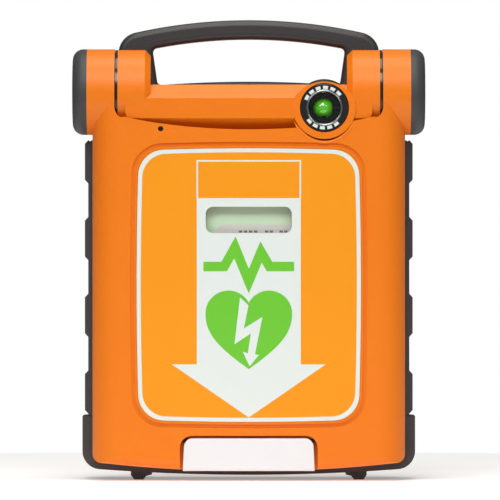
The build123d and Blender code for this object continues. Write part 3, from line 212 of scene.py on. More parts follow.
drift, drift_in, drift_out = new_group(
    "colour_drift",
    [
        ("Colour", "NodeSocketColor", (0.5, 0.5, 0.5, 1)),
        ("Deep Colour", "NodeSocketColor", (0.4, 0.4, 0.4, 1)),
        ("Scuff Colour", "NodeSocketColor", (0.6, 0.6, 0.6, 1)),
        ("Scuffs", "NodeSocketFloat", 0.1),
    ],
    [("Colour", "NodeSocketColor")],
)
place = drift.nodes.new("ShaderNodeTexCoord")
slow = drift.nodes.new("ShaderNodeTexNoise")
slow.inputs["Scale"].default_value = 14
slow.inputs["Detail"].default_value = 2
stretch = drift.nodes.new("ShaderNodeMapping")
stretch.inputs["Scale"].default_value = (1.0, 1.0, 0.25)
scratch = drift.nodes.new("ShaderNodeTexNoise")
scratch.inputs["Scale"].default_value = 260
scratch.inputs["Detail"].default_value = 6
picked = drift.nodes.new("ShaderNodeMapRange")
picked.inputs["From Min"].default_value = 0.64
picked.inputs["From Max"].default_value = 0.76
strength = drift.nodes.new("ShaderNodeMath")
strength.operation = "MULTIPLY"
base_mix = drift.nodes.new("ShaderNodeMix")
base_mix.data_type = "RGBA"
scuff_mix = drift.nodes.new("ShaderNodeMix")
scuff_mix.data_type = "RGBA"
drift.links.new(place.outputs["Object"], slow.inputs["Vector"])
drift.links.new(place.outputs["Object"], stretch.inputs["Vector"])
drift.links.new(stretch.outputs["Vector"], scratch.inputs["Vector"])
drift.links.new(slow.outputs["Fac"], base_mix.inputs["Factor"])
drift.links.new(drift_in.outputs["Colour"], base_mix.inputs["A"])
drift.links.new(drift_in.outputs["Deep Colour"], base_mix.inputs["B"])
drift.links.new(scratch.outputs["Fac"], picked.inputs["Value"])
drift.links.new(picked.outputs["Result"], strength.inputs[0])
drift.links.new(drift_in.outputs["Scuffs"], strength.inputs[1])
drift.links.new(strength.outputs[0], scuff_mix.inputs["Factor"])
drift.links.new(base_mix.outputs["Result"], scuff_mix.inputs["A"])
drift.links.new(drift_in.outputs["Scuff Colour"], scuff_mix.inputs["B"])
drift.links.new(scuff_mix.outputs["Result"], drift_out.inputs["Colour"])
print("shared effects:", [g.name for g in bpy.data.node_groups])

# %% [markdown]
# Every finish is one Principled shader fed by the two shared groups. Screen colours are
# given as they look, from 0 to 255, and turned into the linear values that a shader wants.

# %% Finishes


def tint(red, green, blue):
    """A screen colour as the linear colour that a shader takes."""
    channels = [c / 255 for c in (red, green, blue)]
    linear = [c / 12.92 if c <= 0.04045 else ((c + 0.055) / 1.055) ** 2.4 for c in channels]
    return (*linear, 1)


SCUFF_GAIN = 1.35
SCUFF_LIFT = 0.03


def finish(name, colour, deep, rough, scale=900, depth=0.1, spread=0.06, scuffs=0.05, **sockets):
    """A finish with moulded grain and a slow drift of colour."""
    material = bpy.data.materials.new(name)
    material.use_nodes = True
    tree = material.node_tree
    shader = tree.nodes["Principled BSDF"]
    tone = tree.nodes.new("ShaderNodeGroup")
    tone.node_tree = drift
    tone.inputs["Colour"].default_value = colour
    tone.inputs["Deep Colour"].default_value = deep
    scuffed = [min(1, c * SCUFF_GAIN + SCUFF_LIFT) for c in colour[:3]]
    tone.inputs["Scuff Colour"].default_value = (*scuffed, 1)
    tone.inputs["Scuffs"].default_value = scuffs
    surface = tree.nodes.new("ShaderNodeGroup")
    surface.node_tree = grain
    surface.inputs["Scale"].default_value = scale
    surface.inputs["Depth"].default_value = depth
    surface.inputs["Roughness"].default_value = rough
    surface.inputs["Spread"].default_value = spread
    tree.links.new(tone.outputs["Colour"], shader.inputs["Base Color"])
    tree.links.new(surface.outputs["Roughness"], shader.inputs["Roughness"])
    tree.links.new(surface.outputs["Normal"], shader.inputs["Normal"])
    for socket, value in sockets.items():
        shader.inputs[socket.replace("_", " ")].default_value = value
    return material


orange = finish(
    "orange_plastic", tint(236, 125, 16), tint(233, 118, 12), 0.4,
    depth=0.34, spread=0.12, scuffs=0.03, IOR=1.38,
)
frame_grey = finish(
    "grey_plastic", tint(50, 47, 50), tint(43, 40, 43), 0.44, depth=0.2, scuffs=0.06
)
rubber = finish(
    "grey_rubber", tint(62, 62, 65), tint(54, 54, 57), 0.56, scale=1400, depth=0.3, scuffs=0.08
)
seal = finish("seal_rubber", tint(38, 38, 40), tint(32, 32, 34), 0.7, depth=0.2)
dark_gloss = finish(
    "dark_gloss", tint(34, 35, 38), tint(28, 29, 32), 0.16, depth=0.02, scuffs=0.02
)
deck_grey = finish("deck_plastic", tint(150, 153, 156), tint(142, 145, 148), 0.55, depth=0.25)
liner_grey = finish("liner_plastic", tint(196, 198, 199), tint(188, 190, 192), 0.5, depth=0.2)
amber = finish(
    "amber_overlay", tint(241, 152, 22), tint(239, 148, 18), 0.4,
    scale=500, depth=0.03, scuffs=0.01, IOR=1.36,
)
white_plastic = finish(
    "white_plastic", tint(233, 232, 235), tint(229, 229, 233), 0.34, depth=0.04, scuffs=0.02
)
red_plastic = finish("red_plastic", tint(196, 36, 30), tint(180, 30, 26), 0.4)
green_gloss = finish(
    "green_plastic", tint(96, 208, 24), tint(84, 196, 18), 0.1,
    depth=0.01, spread=0.02, scuffs=0.0, IOR=2.0,
)
steel = finish(
    "plain_steel", tint(190, 191, 193), tint(176, 177, 180), 0.3, depth=0.05, Metallic=1.0
)
aluminium = finish(
    "aluminium", tint(205, 206, 208), tint(196, 197, 199), 0.38, depth=0.1, Metallic=1.0
)
copper = finish(
    "wound_copper", tint(186, 110, 70), tint(160, 88, 52), 0.35, scale=600, depth=0.4, Metallic=1.0
)
film = finish(
    "green_film", tint(214, 248, 218), tint(206, 240, 210), 0.34, scale=160, depth=0.25
)
webbing = finish("webbing", tint(50, 50, 53), tint(42, 42, 45), 0.85, scale=2200, depth=0.6)
solder_mask = finish("solder_mask", tint(24, 92, 52), tint(18, 80, 44), 0.3, depth=0.1)
blue_sleeve = finish("blue_sleeve", tint(44, 58, 120), tint(38, 50, 108), 0.25, depth=0.05)
black_part = finish("black_plastic", tint(40, 40, 42), tint(34, 34, 36), 0.45, depth=0.15)
plate_grey = finish("plate_film", tint(198, 200, 202), tint(192, 194, 196), 0.35, depth=0.05)
shock_red = finish(
    "shock_button_plastic", tint(226, 70, 32), tint(214, 60, 26), 0.3, depth=0.05
)
info_blue = finish("info_button_plastic", tint(36, 92, 182), tint(30, 84, 170), 0.3, depth=0.05)
battery_grey = finish("battery_plastic", tint(74, 75, 78), tint(68, 69, 72), 0.5, depth=0.2)
cell_green = finish("cell_wrap", tint(70, 150, 86), tint(62, 138, 78), 0.3, depth=0.03)
chrome = finish(
    "dark_chrome", tint(176, 177, 182), tint(166, 167, 172), 0.16, depth=0.01, Metallic=1.0
)
print_white = finish(
    "white_print", tint(223, 231, 229), tint(219, 228, 226), 0.35, scale=600, depth=0.02, scuffs=0.0
)
print_green = finish(
    "green_print", tint(108, 198, 50), tint(104, 194, 46), 0.35, scale=600, depth=0.02, scuffs=0.0
)
print_grey = finish("grey_print", tint(120, 128, 132), tint(112, 120, 124), 0.5)
# steel painted near black: painted shade, for pins that show only in shaded gaps
pin_shade_steel = finish("steel_painted_shade", tint(44, 44, 47), tint(36, 36, 39), 0.4, Metallic=0.6)
floor_white = finish(
    "floor_paper", tint(250, 250, 250), tint(249, 249, 249), 0.9, depth=0.0, scuffs=0.0
)
floor_shader = floor_white.node_tree.nodes["Principled BSDF"]
floor_shader.inputs["Emission Color"].default_value = (1, 1, 1, 1)
floor_shader.inputs["Emission Strength"].default_value = 0.3
clear = bpy.data.materials.new("clear_moulding")
clear.use_nodes = True
clear_shader = clear.node_tree.nodes["Principled BSDF"]
clear_shader.inputs["Base Color"].default_value = (0.99, 1.0, 0.99, 1)
clear_shader.inputs["Roughness"].default_value = 0.0
clear_shader.inputs["IOR"].default_value = 1.3
clear_shader.inputs["Transmission Weight"].default_value = 1.0
# clear plastic lets light through to what lies behind it, so shadow and bounce rays pass
clear_tree = clear.node_tree
path = clear_tree.nodes.new("ShaderNodeLightPath")
passing = clear_tree.nodes.new("ShaderNodeMath")
passing.operation = "MAXIMUM"
let_through = clear_tree.nodes.new("ShaderNodeBsdfTransparent")
either = clear_tree.nodes.new("ShaderNodeMixShader")
clear_end = clear_tree.nodes["Material Output"]
clear_tree.links.new(path.outputs["Is Shadow Ray"], passing.inputs[0])
clear_tree.links.new(path.outputs["Is Diffuse Ray"], passing.inputs[1])
clear_tree.links.new(passing.outputs[0], either.inputs["Fac"])
clear_tree.links.new(clear_shader.outputs["BSDF"], either.inputs[1])
clear_tree.links.new(let_through.outputs["BSDF"], either.inputs[2])
clear_tree.links.new(either.outputs["Shader"], clear_end.inputs["Surface"])

finish_of = {
    "orange_shell": orange,
    "grey_frame": frame_grey,
    "grey_rubber": rubber,
    "seal_rubber": seal,
    "dark_gloss": dark_gloss,
    "deck_grey": deck_grey,
    "liner_grey": liner_grey,
    "label": amber,
    "clear": clear,
    "latch_white": white_plastic,
    "red_plastic": red_plastic,
    "green_plastic": green_gloss,
    "steel": steel,
    "pouch_film": film,
    "strap": webbing,
    "circuit_board": solder_mask,
    "capacitor_sleeve": blue_sleeve,
    "black_part": black_part,
    "copper_wire": copper,
    "aluminium": aluminium,
    "plate_film": plate_grey,
    "shock_orange": shock_red,
    "info_blue": info_blue,
    "battery_shell": battery_grey,
    "cell_wrap": cell_green,
}


def dress(piece, material):
    """Give a piece one finish all over."""
    piece.data.materials.clear()
    piece.data.materials.append(material)


for entry in frame["record"]["subparts"]:
    dress(nodes[entry["node"]], finish_of[entry["material_slot"]])
# the flag's shaft and the latch pin show only in shaded gaps, so their steel takes painted shade
for name in ("flag_shaft", "latch_pin"):
    dress(nodes[name], pin_shade_steel)
dress(nodes["display_module"], dark_gloss)
dress(floor, floor_white)

# %% [markdown]
# The label's print is modelled as thin sheets that lie on the overlay, each a little
# prouder than the one below. A circle with as many points as the outline needs is filled,
# its points are set to the outline, and the face is extruded back to give it thickness.

# %% Helpers for printed sheets
PRINT_BACK = label_low[1]
LAYER = 0.03 * MM
SUNK = 0.02 * MM
CUTTER_LAYERS = 60
CUTTER_BEHIND = 1.5 * MM


def only(piece):
    """Select one piece and nothing else."""
    if bpy.context.object and bpy.context.object.mode != "OBJECT":
        bpy.ops.object.mode_set(mode="OBJECT")
    bpy.ops.object.select_all(action="DESELECT")
    piece.select_set(True)
    bpy.context.view_layer.objects.active = piece


def settle(piece):
    """Apply a piece's place to its mesh, so that its object sits at the origin."""
    only(piece)
    bpy.ops.object.transform_apply(location=True, rotation=True, scale=True)


def thicken(piece, depth):
    """Extrude a flat sheet straight back and turn its faces outward."""
    only(piece)
    bpy.ops.object.mode_set(mode="EDIT")
    bpy.ops.mesh.select_all(action="SELECT")
    bpy.ops.mesh.extrude_region_move(TRANSFORM_OT_translate={"value": (0, depth, 0)})
    bpy.ops.mesh.select_all(action="SELECT")
    bpy.ops.mesh.normals_make_consistent(inside=False)
    bpy.ops.object.mode_set(mode="OBJECT")


def printed_sheet(name, outline, layers, material, back=PRINT_BACK):
    """A thin sheet with this outline in millimetres, anticlockwise from the front."""
    bpy.ops.object.select_all(action="DESELECT")
    bpy.ops.mesh.primitive_circle_add(vertices=len(outline), radius=0.01, fill_type="NGON")
    sheet = bpy.context.object
    sheet.name = name
    front = back - layers * LAYER
    for vertex, (x, z) in zip(sheet.data.vertices, outline):
        vertex.co = (x * MM, front, z * MM)
    settle(sheet)
    thicken(sheet, layers * LAYER + SUNK)
    dress(sheet, material)
    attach(sheet, "lid")
    return sheet


SIDE_CUTS = 14


def rounded(half_x, low, high, radius, crown=0.0, steps=10):
    """A rounded rectangle centred on x = 0, with its sides crowned outward."""
    half_z = (high - low) / 2
    middle = (high + low) / 2
    points = []
    for turn, (sx, sz) in enumerate(((1, 1), (-1, 1), (-1, -1), (1, -1))):
        for step in range(steps + 1):
            angle = math.radians(90 * turn + 90 * step / steps)
            x = sx * (half_x - radius) + radius * math.cos(angle)
            z = sz * (half_z - radius) + radius * math.sin(angle)
            points.append((x, z))
    crowned = []
    for n, (x, z) in enumerate(points):
        following = points[(n + 1) % len(points)]
        long_side = math.dist((x, z), following) > 2 * radius
        cuts = SIDE_CUTS if long_side else 1
        for cut in range(cuts):
            px = x + (following[0] - x) * cut / cuts
            pz = z + (following[1] - z) * cut / cuts
            lift_x = crown * (pz / half_z) ** 2
            lift_z = crown * (px / half_x) ** 2
            inward_x = math.copysign(lift_x, px)
            inward_z = math.copysign(lift_z, pz)
            crowned.append((px - inward_x, middle + pz - inward_z))
    return crowned


def bore(piece, cutter):
    """Cut one piece out of another, then throw the cutter away."""
    only(piece)
    cut = piece.modifiers.new("cut", "BOOLEAN")
    cut.object = cutter
    cut.solver = "EXACT"
    bpy.ops.object.modifier_apply(modifier=cut.name)
    bpy.data.objects.remove(cutter, do_unlink=True)


# %% [markdown]
# A white line frames the label. It follows the label's crowned edge, so it is cut as a
# whole crowned sheet with a smaller one bored out of it.

# %% Label border
LABEL_HALF = (label_high[0] - label_low[0]) / 2 / MM
LABEL_LOW = label_low[2] / MM
LABEL_HIGH = label_high[2] / MM
CORNER = 16.0
CROWN = 1.5
BORDER = 2.7
INSET = 0.1
border = printed_sheet(
    "label_border",
    rounded(LABEL_HALF - INSET, LABEL_LOW + INSET, LABEL_HIGH - INSET, CORNER, CROWN),
    1,
    print_white,
)
inner_border = rounded(
    LABEL_HALF - BORDER, LABEL_LOW + BORDER, LABEL_HIGH - BORDER, CORNER - BORDER * 0.6, CROWN
)


def cutter_from(outline):
    """A thick block with this outline, to bore with."""
    block = printed_sheet("cutter", outline, CUTTER_LAYERS, print_white)
    only(block)
    bpy.ops.object.mode_set(mode="EDIT")
    bpy.ops.mesh.select_all(action="SELECT")
    bpy.ops.transform.translate(value=(0, -0.3 * MM, 0))
    bpy.ops.object.mode_set(mode="OBJECT")
    for vertex in block.data.vertices:
        if vertex.co.y > PRINT_BACK - 1.0 * MM:
            vertex.co.y = PRINT_BACK + CUTTER_BEHIND
    return block


bore(border, cutter_from(inner_border))
print("the border is", BORDER, "mm wide")

# %% [markdown]
# Below the bare header box a broad white arrow points down at the latch. The window for
# the pads' date is bored through it.

# %% Header box and arrow
HEADER_HALF = 34.0
HEADER_LOW = 184.0
HEADER_HIGH = 208.7
LINE = 1.0
SHAFT_HALF = 33.8
BARB_Z = 75.9
BARB_HALF = 50.0
TIP_Z = 41.4
header = printed_sheet(
    "header_box",
    [
        (-HEADER_HALF, HEADER_LOW),
        (HEADER_HALF, HEADER_LOW),
        (HEADER_HALF, HEADER_HIGH),
        (-HEADER_HALF, HEADER_HIGH),
    ],
    1,
    print_white,
)
inner_half = HEADER_HALF - LINE
bore(
    header,
    cutter_from(
        [
            (-inner_half, HEADER_LOW - LINE),
            (inner_half, HEADER_LOW - LINE),
            (inner_half, HEADER_HIGH - LINE),
            (-inner_half, HEADER_HIGH - LINE),
        ]
    ),
)
arrow = printed_sheet(
    "down_arrow",
    [
        (-SHAFT_HALF, HEADER_LOW),
        (-SHAFT_HALF, BARB_Z),
        (-BARB_HALF, BARB_Z),
        (0, TIP_Z),
        (BARB_HALF, BARB_Z),
        (SHAFT_HALF, BARB_Z),
        (SHAFT_HALF, HEADER_LOW),
    ],
    1,
    print_white,
)
pane_low, pane_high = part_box("window_pane")
GLASS_RIM = 2.5
GLASS_CORNER = 4.8
window_half = pane_high[0] / MM - GLASS_RIM
window_low = pane_low[2] / MM + GLASS_RIM
window_high = pane_high[2] / MM - GLASS_RIM
bore(arrow, cutter_from(rounded(window_half, window_low, window_high, GLASS_CORNER)))
print("the window in the arrow is", round(window_high - window_low, 1), "mm high")

# %% [markdown]
# A green pulse trace and the heart with a bolt are the common signs for such a unit. The
# trace is a bent line given its width by stepping to each side of it. The heart is two
# round lobes that run down to a point along a curve.

# %% Pulse trace, heart and bolt


def stroke(path, width):
    """The outline of a bent line of this width, mitred at its bends."""
    left = []
    right = []
    for n, (x, z) in enumerate(path):
        before = path[max(n - 1, 0)]
        after = path[min(n + 1, len(path) - 1)]
        angle_in = math.atan2(z - before[1], x - before[0]) if n else None
        angle_out = math.atan2(after[1] - z, after[0] - x) if n < len(path) - 1 else None
        angle_in = angle_out if angle_in is None else angle_in
        angle_out = angle_in if angle_out is None else angle_out
        bend = (angle_out - angle_in) / 2
        reach = width / 2 / math.cos(bend)
        side = (angle_in + angle_out) / 2 + math.pi / 2
        left.append((x + reach * math.cos(side), z + reach * math.sin(side)))
        right.append((x - reach * math.cos(side), z - reach * math.sin(side)))
    return right + left[::-1]


PULSE_Z = 139.5
PULSE_WIDE = 6.2
pulse_path = [
    (-29.5, PULSE_Z),
    (-16.0, PULSE_Z),
    (-9.0, PULSE_Z + 12.5),
    (0.0, PULSE_Z - 9.5),
    (8.0, PULSE_Z + 9.5),
    (13.5, PULSE_Z),
    (29.5, PULSE_Z),
]
printed_sheet("pulse_trace", stroke(pulse_path, PULSE_WIDE), 2, print_green)

LOBE_R = 15.0
LOBE_X = 13.2
LOBE_Z = 108.9
POINT_Z = 72.8
SWELL_Z = 95.0
TAPER_X = 18.5
TAPER_Z = 86.0
cleft = math.acos(-LOBE_X / LOBE_R)
right_side = []
for step in range(17):
    t = 1 - step / 16
    start_x = LOBE_X + LOBE_R
    from_lobe, swell, taper = (1 - t) ** 3, 3 * (1 - t) ** 2 * t, 3 * (1 - t) * t**2
    x = from_lobe * start_x + swell * start_x + taper * TAPER_X
    z = from_lobe * LOBE_Z + swell * SWELL_Z + taper * TAPER_Z + t**3 * POINT_Z
    right_side.append((x, z))
for step in range(1, 25):
    angle = cleft * step / 24
    right_side.append((LOBE_X + LOBE_R * math.cos(angle), LOBE_Z + LOBE_R * math.sin(angle)))
left_side = [(-x, z) for x, z in reversed(right_side[1:-1])]
printed_sheet("heart_sign", right_side + left_side, 2, print_green)

bolt = [
    (-5.7, 119.5),
    (-9.3, 89.0),
    (1.3, 96.0),
    (-0.6, 83.0),
    (-3.9, 84.2),
    (0.5, 74.6),
    (6.6, 82.0),
    (4.0, 82.4),
    (8.9, 106.8),
    (-3.2, 99.2),
    (-0.2, 114.3),
]
printed_sheet("heart_bolt", bolt, 3, print_white)
print("the heart is", round(2 * (LOBE_X + LOBE_R), 1), "mm wide")

# %% [markdown]
# Behind the window lies the pads pouch with its card. The card carries plain grey dashes.

# %% Pouch card
pouch_low, pouch_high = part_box("pads_pouch")
CARD_TOP = 166.8
CARD_LOW = 130.0
CARD_LEFT = -21.5
CARD_RIGHT = 45.0
CARD_CORNER = 5.0
DASH_LOW = 161.6
DASH_HIGH = 163.0
DASH_WIDE = 2.2
DASHES = (-6.5, -3.2, 0.1, 3.4, 10.5, 13.6, 20.0, 23.0)
CARD_PROUD = 0.1 * MM
card_front = pouch_low[1] - CARD_PROUD
card_outline = [(CARD_LEFT, CARD_LOW), (CARD_RIGHT, CARD_LOW), (CARD_RIGHT, CARD_TOP)]
for degrees in range(90, -1, -15):
    turn = math.radians(degrees)
    card_outline.append(
        (
            CARD_LEFT + CARD_CORNER - CARD_CORNER * math.cos(turn),
            CARD_TOP - CARD_CORNER + CARD_CORNER * math.sin(turn),
        )
    )
printed_sheet("pouch_card", card_outline, 3, print_white, card_front)
for n, left in enumerate(DASHES):
    right = left + DASH_WIDE
    dash = [(left, DASH_LOW), (right, DASH_LOW), (right, DASH_HIGH), (left, DASH_HIGH)]
    printed_sheet(f"card_dash_{n + 1}", dash, 5, print_grey, card_front)
print("card carries", len(DASHES), "dashes")

# %% [markdown]
# The pads lie in a sealed film pouch. On the real one two sheets of film are welded
# together around the edge, and the pads and gel between them push the sheets apart. Here
# a thin block is cut into small squares, its rim and the lines under the straps are
# pinned, and a cloth run with pressure inside swells the rest.

# %% Pads pouch
WELD = 5.0 * MM
WELD_THICK = 0.9 * MM
BODY_THICK = 7.0 * MM
THINNING = 9
PINNED_RIM = 0.985
UNDER_STRAP = 6 * MM
WELD_PRESS = 0.55
pouch_middle = [(a + b) / 2 for a, b in zip(pouch_low, pouch_high)]
pouch_size = [b - a for a, b in zip(pouch_low, pouch_high)]
bpy.ops.object.select_all(action="DESELECT")
bpy.ops.mesh.primitive_cube_add(
    size=1,
    location=pouch_middle,
    scale=(pouch_size[0] - 2 * WELD, BODY_THICK, pouch_size[2] - 2 * WELD),
)
pouch = bpy.context.object
pouch.name = "film_pouch"
settle(pouch)
strap_low, strap_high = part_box("pouch_straps")
STRAP_WIDE = 10.0 * MM
STRAP_LINES = [strap_low[2] + STRAP_WIDE / 2, strap_high[2] - STRAP_WIDE / 2]


def pick_faces(piece, wanted):
    """Select the faces that a test accepts, and leave the piece in edit mode."""
    only(piece)
    bpy.ops.object.mode_set(mode="EDIT")
    bpy.ops.mesh.select_mode(type="FACE")
    mesh = bmesh.from_edit_mesh(piece.data)
    for face in mesh.faces:
        face.select_set(wanted(face))
    bmesh.update_edit_mesh(piece.data)


def towards_rim(vertex):
    """How near a point is to the pouch's rim: 0 in the middle, 1 at the rim."""
    x = abs(vertex.co.x - pouch_middle[0]) / (pouch_size[0] / 2 - WELD)
    z = abs(vertex.co.z - pouch_middle[2]) / (pouch_size[2] / 2 - WELD)
    return max(x, z)


only(pouch)
bpy.ops.object.mode_set(mode="EDIT")
bpy.ops.mesh.select_all(action="SELECT")
bpy.ops.mesh.subdivide(number_cuts=38)
bpy.ops.object.mode_set(mode="OBJECT")
# thin the block towards its rim, so that both sheets meet at the weld
weld_share = WELD_THICK / BODY_THICK
for vertex in pouch.data.vertices:
    thin = weld_share + (1 - weld_share) * min(1, (1 - towards_rim(vertex)) * THINNING)
    vertex.co.y = pouch_middle[1] + (vertex.co.y - pouch_middle[1]) * thin
pins = pouch.vertex_groups.new(name="pins")
for vertex in pouch.data.vertices:
    to_strap = min(abs(vertex.co.z - line) for line in STRAP_LINES)
    under_strap = vertex.co.y > pouch_middle[1] and to_strap < UNDER_STRAP
    if towards_rim(vertex) > PINNED_RIM or under_strap:
        pins.add([vertex.index], 1.0, "REPLACE")
print("pouch has", len(pouch.data.vertices), "points before it swells")

# %% Swell the pouch
rest_shape = [vertex.co.copy() for vertex in pouch.data.vertices]
cloth = pouch.modifiers.new("film", "CLOTH")
cloth.settings.vertex_group_mass = "pins"
cloth.settings.use_pressure = True
cloth.settings.uniform_pressure_force = 3.5
cloth.settings.effector_weights.gravity = 0
cloth.settings.tension_stiffness = 12
cloth.settings.compression_stiffness = 6
cloth.settings.bending_stiffness = 0.4
cloth.collision_settings.use_collision = False
for step in range(1, 21):
    bpy.context.scene.frame_set(step)
only(pouch)
bpy.ops.object.modifier_apply(modifier=cloth.name)
bpy.context.scene.frame_set(1)
FRONT_GAP = 0.3 * MM
BACK_GAP = 0.2 * MM
front_limit = pouch_low[1] + FRONT_GAP
back_limit = pouch_high[1] - BACK_GAP
SIDE_SLIP = 2 * MM
for vertex, start in zip(pouch.data.vertices, rest_shape):
    vertex.co.x = start.x + max(-SIDE_SLIP, min(SIDE_SLIP, vertex.co.x - start.x))
    vertex.co.z = start.z + max(-SIDE_SLIP, min(SIDE_SLIP, vertex.co.z - start.z))
    vertex.co.y = max(front_limit, min(back_limit, vertex.co.y))

# the weld: the thin rim is drawn outward all round
pick_faces(
    pouch,
    lambda face: abs(face.normal.y) < 0.3
    and abs(face.calc_center_median().y - pouch_middle[1]) < WELD_THICK,
)
bpy.ops.mesh.extrude_region()
bpy.ops.transform.resize(
    value=(
        pouch_size[0] / (pouch_size[0] - 2 * WELD),
        WELD_PRESS,
        pouch_size[2] / (pouch_size[2] - 2 * WELD),
    ),
    center_override=pouch_middle,
)
bpy.ops.mesh.select_all(action="SELECT")
bpy.ops.mesh.remove_doubles(threshold=0.00001)
bpy.ops.mesh.normals_make_consistent(inside=False)
bpy.ops.object.mode_set(mode="OBJECT")
smoother = pouch.modifiers.new("smooth", "SUBSURF")
smoother.levels = 1
smoother.render_levels = 1
bpy.ops.object.modifier_apply(modifier=smoother.name)
bpy.ops.object.shade_smooth()
dress(pouch, film)
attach(pouch, "lid")
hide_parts("pads_pouch")
swollen = max(v.co.y for v in pouch.data.vertices) - min(v.co.y for v in pouch.data.vertices)
print("pouch is", round(swollen / MM, 1), "mm thick")

# %% [markdown]
# Two woven straps hold the pouch to the liner. Each is a strip that runs across the pouch,
# turns down over its sides and ends on the liner, thickened and softened at the edges.

# %% Pouch straps
STRAP_THICK = 0.9 * MM
STRAP_TURN = 2.4 * MM
STRAP_RIPPLE = 0.12 * MM
RIPPLE_TURN = 0.16
strap_half = strap_high[0] - STRAP_THICK / 2
strap_front = strap_high[1] - STRAP_THICK / 2 - STRAP_RIPPLE
strap_depth = strap_front - strap_low[1]
strap_straight = strap_half - STRAP_TURN
strap_reach = strap_straight + STRAP_TURN * math.pi / 2 + strap_depth - STRAP_TURN


def along_strap(run):
    """Where a point this far from the middle of the strap lies: across, and back."""
    far = abs(run)
    side = math.copysign(1, run)
    turned = min(max(far - strap_straight, 0) / STRAP_TURN, math.pi / 2)
    rest = max(far - strap_straight - STRAP_TURN * math.pi / 2, 0)
    across = min(far, strap_straight) + STRAP_TURN * math.sin(turned)
    return side * across, strap_front - STRAP_TURN * (1 - math.cos(turned)) - rest


straps = []
for n, line in enumerate(STRAP_LINES):
    bpy.ops.object.select_all(action="DESELECT")
    bpy.ops.mesh.primitive_grid_add(x_subdivisions=120, y_subdivisions=6, size=1)
    strap = bpy.context.object
    for vertex in strap.data.vertices:
        run = vertex.co.x * 2 * strap_reach
        wide = vertex.co.y * STRAP_WIDE
        across, back = along_strap(run)
        along = math.cos(run / MM * RIPPLE_TURN + 2 * n)
        ripple = STRAP_RIPPLE * along * math.cos(wide / STRAP_WIDE * math.pi)
        if abs(run) >= strap_straight:
            ripple = 0
        vertex.co = (across, back + ripple, line + wide)
    straps.append(strap)
bpy.ops.object.select_all(action="DESELECT")
for strap in straps:
    strap.select_set(True)
bpy.context.view_layer.objects.active = straps[0]
bpy.ops.object.join()
webbing_straps = bpy.context.object
webbing_straps.name = "webbing_straps"
only(webbing_straps)
body = webbing_straps.modifiers.new("body", "SOLIDIFY")
body.thickness = STRAP_THICK
body.offset = 0
bpy.ops.object.modifier_apply(modifier=body.name)
edge = webbing_straps.modifiers.new("edge", "BEVEL")
edge.width = 0.3 * MM
edge.segments = 3
bpy.ops.object.modifier_apply(modifier=edge.name)
bpy.ops.object.mode_set(mode="EDIT")
bpy.ops.mesh.select_all(action="SELECT")
bpy.ops.mesh.normals_make_consistent(inside=False)
bpy.ops.object.mode_set(mode="OBJECT")
bpy.ops.object.shade_smooth()
dress(webbing_straps, webbing)
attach(webbing_straps, "lid")
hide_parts("pouch_straps")
print("straps run", round(2 * strap_reach / MM, 1), "mm each")

# %% [markdown]
# The two springs under the buttons are wound here from wire, each the size of the rigid
# spring that it replaces.

# %% Button springs
SPRING_PITCH = 3.0 * MM


def wind_spring(node, wire):
    """A wire spring the size of a rigid one, which takes its place."""
    low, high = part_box(node)
    middle = [(a + b) / 2 for a, b in zip(low, high)]
    length = high[1] - low[1]
    turns = max(1, round((length - 2 * wire) / SPRING_PITCH))
    bpy.ops.object.select_all(action="DESELECT")
    bpy.ops.mesh.primitive_circle_add(vertices=12, radius=wire)
    spring = bpy.context.object
    spring.name = "wound_" + node
    only(spring)
    bpy.ops.object.mode_set(mode="EDIT")
    bpy.ops.mesh.select_all(action="SELECT")
    bpy.ops.transform.translate(value=((high[0] - low[0]) / 2 - wire, 0, 0))
    bpy.ops.object.mode_set(mode="OBJECT")
    wind = spring.modifiers.new("wind", "SCREW")
    wind.axis = "Y"
    wind.screw_offset = (length - 2 * wire) / turns
    wind.iterations = turns
    wind.steps = 32
    wind.render_steps = 32
    bpy.ops.object.modifier_apply(modifier=wind.name)
    bpy.ops.object.mode_set(mode="EDIT")
    bpy.ops.mesh.select_all(action="SELECT")
    bpy.ops.mesh.remove_doubles(threshold=0.00001)
    bpy.ops.mesh.fill_holes(sides=12)
    bpy.ops.mesh.normals_make_consistent(inside=False)
    bpy.ops.object.mode_set(mode="OBJECT")
    spring.location = (middle[0], low[1] + wire, middle[2])
    settle(spring)
    bpy.ops.object.shade_smooth()
    dress(spring, steel)
    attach(spring, "base")
    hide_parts(node)
    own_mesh(spring)
    print(spring.name, "has", turns, "turns in", round(length / MM, 1), "mm")


wind_spring("shock_button_spring", 0.5 * MM)
wind_spring("info_button_spring", 0.4 * MM)

# %% [markdown]
# Plain white ticks stand around the status bezel, above and below the lens. A polished
# retaining ring sits between them and the lens.

# %% Bezel ticks
bezel_low, bezel_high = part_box("status_bezel")
bezel_x = (bezel_low[0] + bezel_high[0]) / 2 / MM
bezel_z = (bezel_low[2] + bezel_high[2]) / 2 / MM


def arc_tick(start, end, inner, outer):
    """A short piece of a ring around the status lens, between two angles."""
    turns = [math.radians(start + (end - start) * n / 6) for n in range(7)]
    edges = [(outer, turn) for turn in turns] + [(inner, turn) for turn in reversed(turns)]
    return [(bezel_x + r * math.cos(turn), bezel_z + r * math.sin(turn)) for r, turn in edges]


TICK_STEP = 21
TICK_HALF = 7
TICK_INNER = 12.1
TICK_OUTER = 14.2
tick_angles = [150 - TICK_STEP * n for n in range(6)] + [222 + TICK_STEP * n for n in range(5)]
for n, angle in enumerate(tick_angles):
    outline = arc_tick(angle - TICK_HALF, angle + TICK_HALF, TICK_INNER, TICK_OUTER)
    tick = printed_sheet(f"bezel_tick_{n + 1}", outline, 2, print_white, bezel_low[1])
    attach(tick, "base")

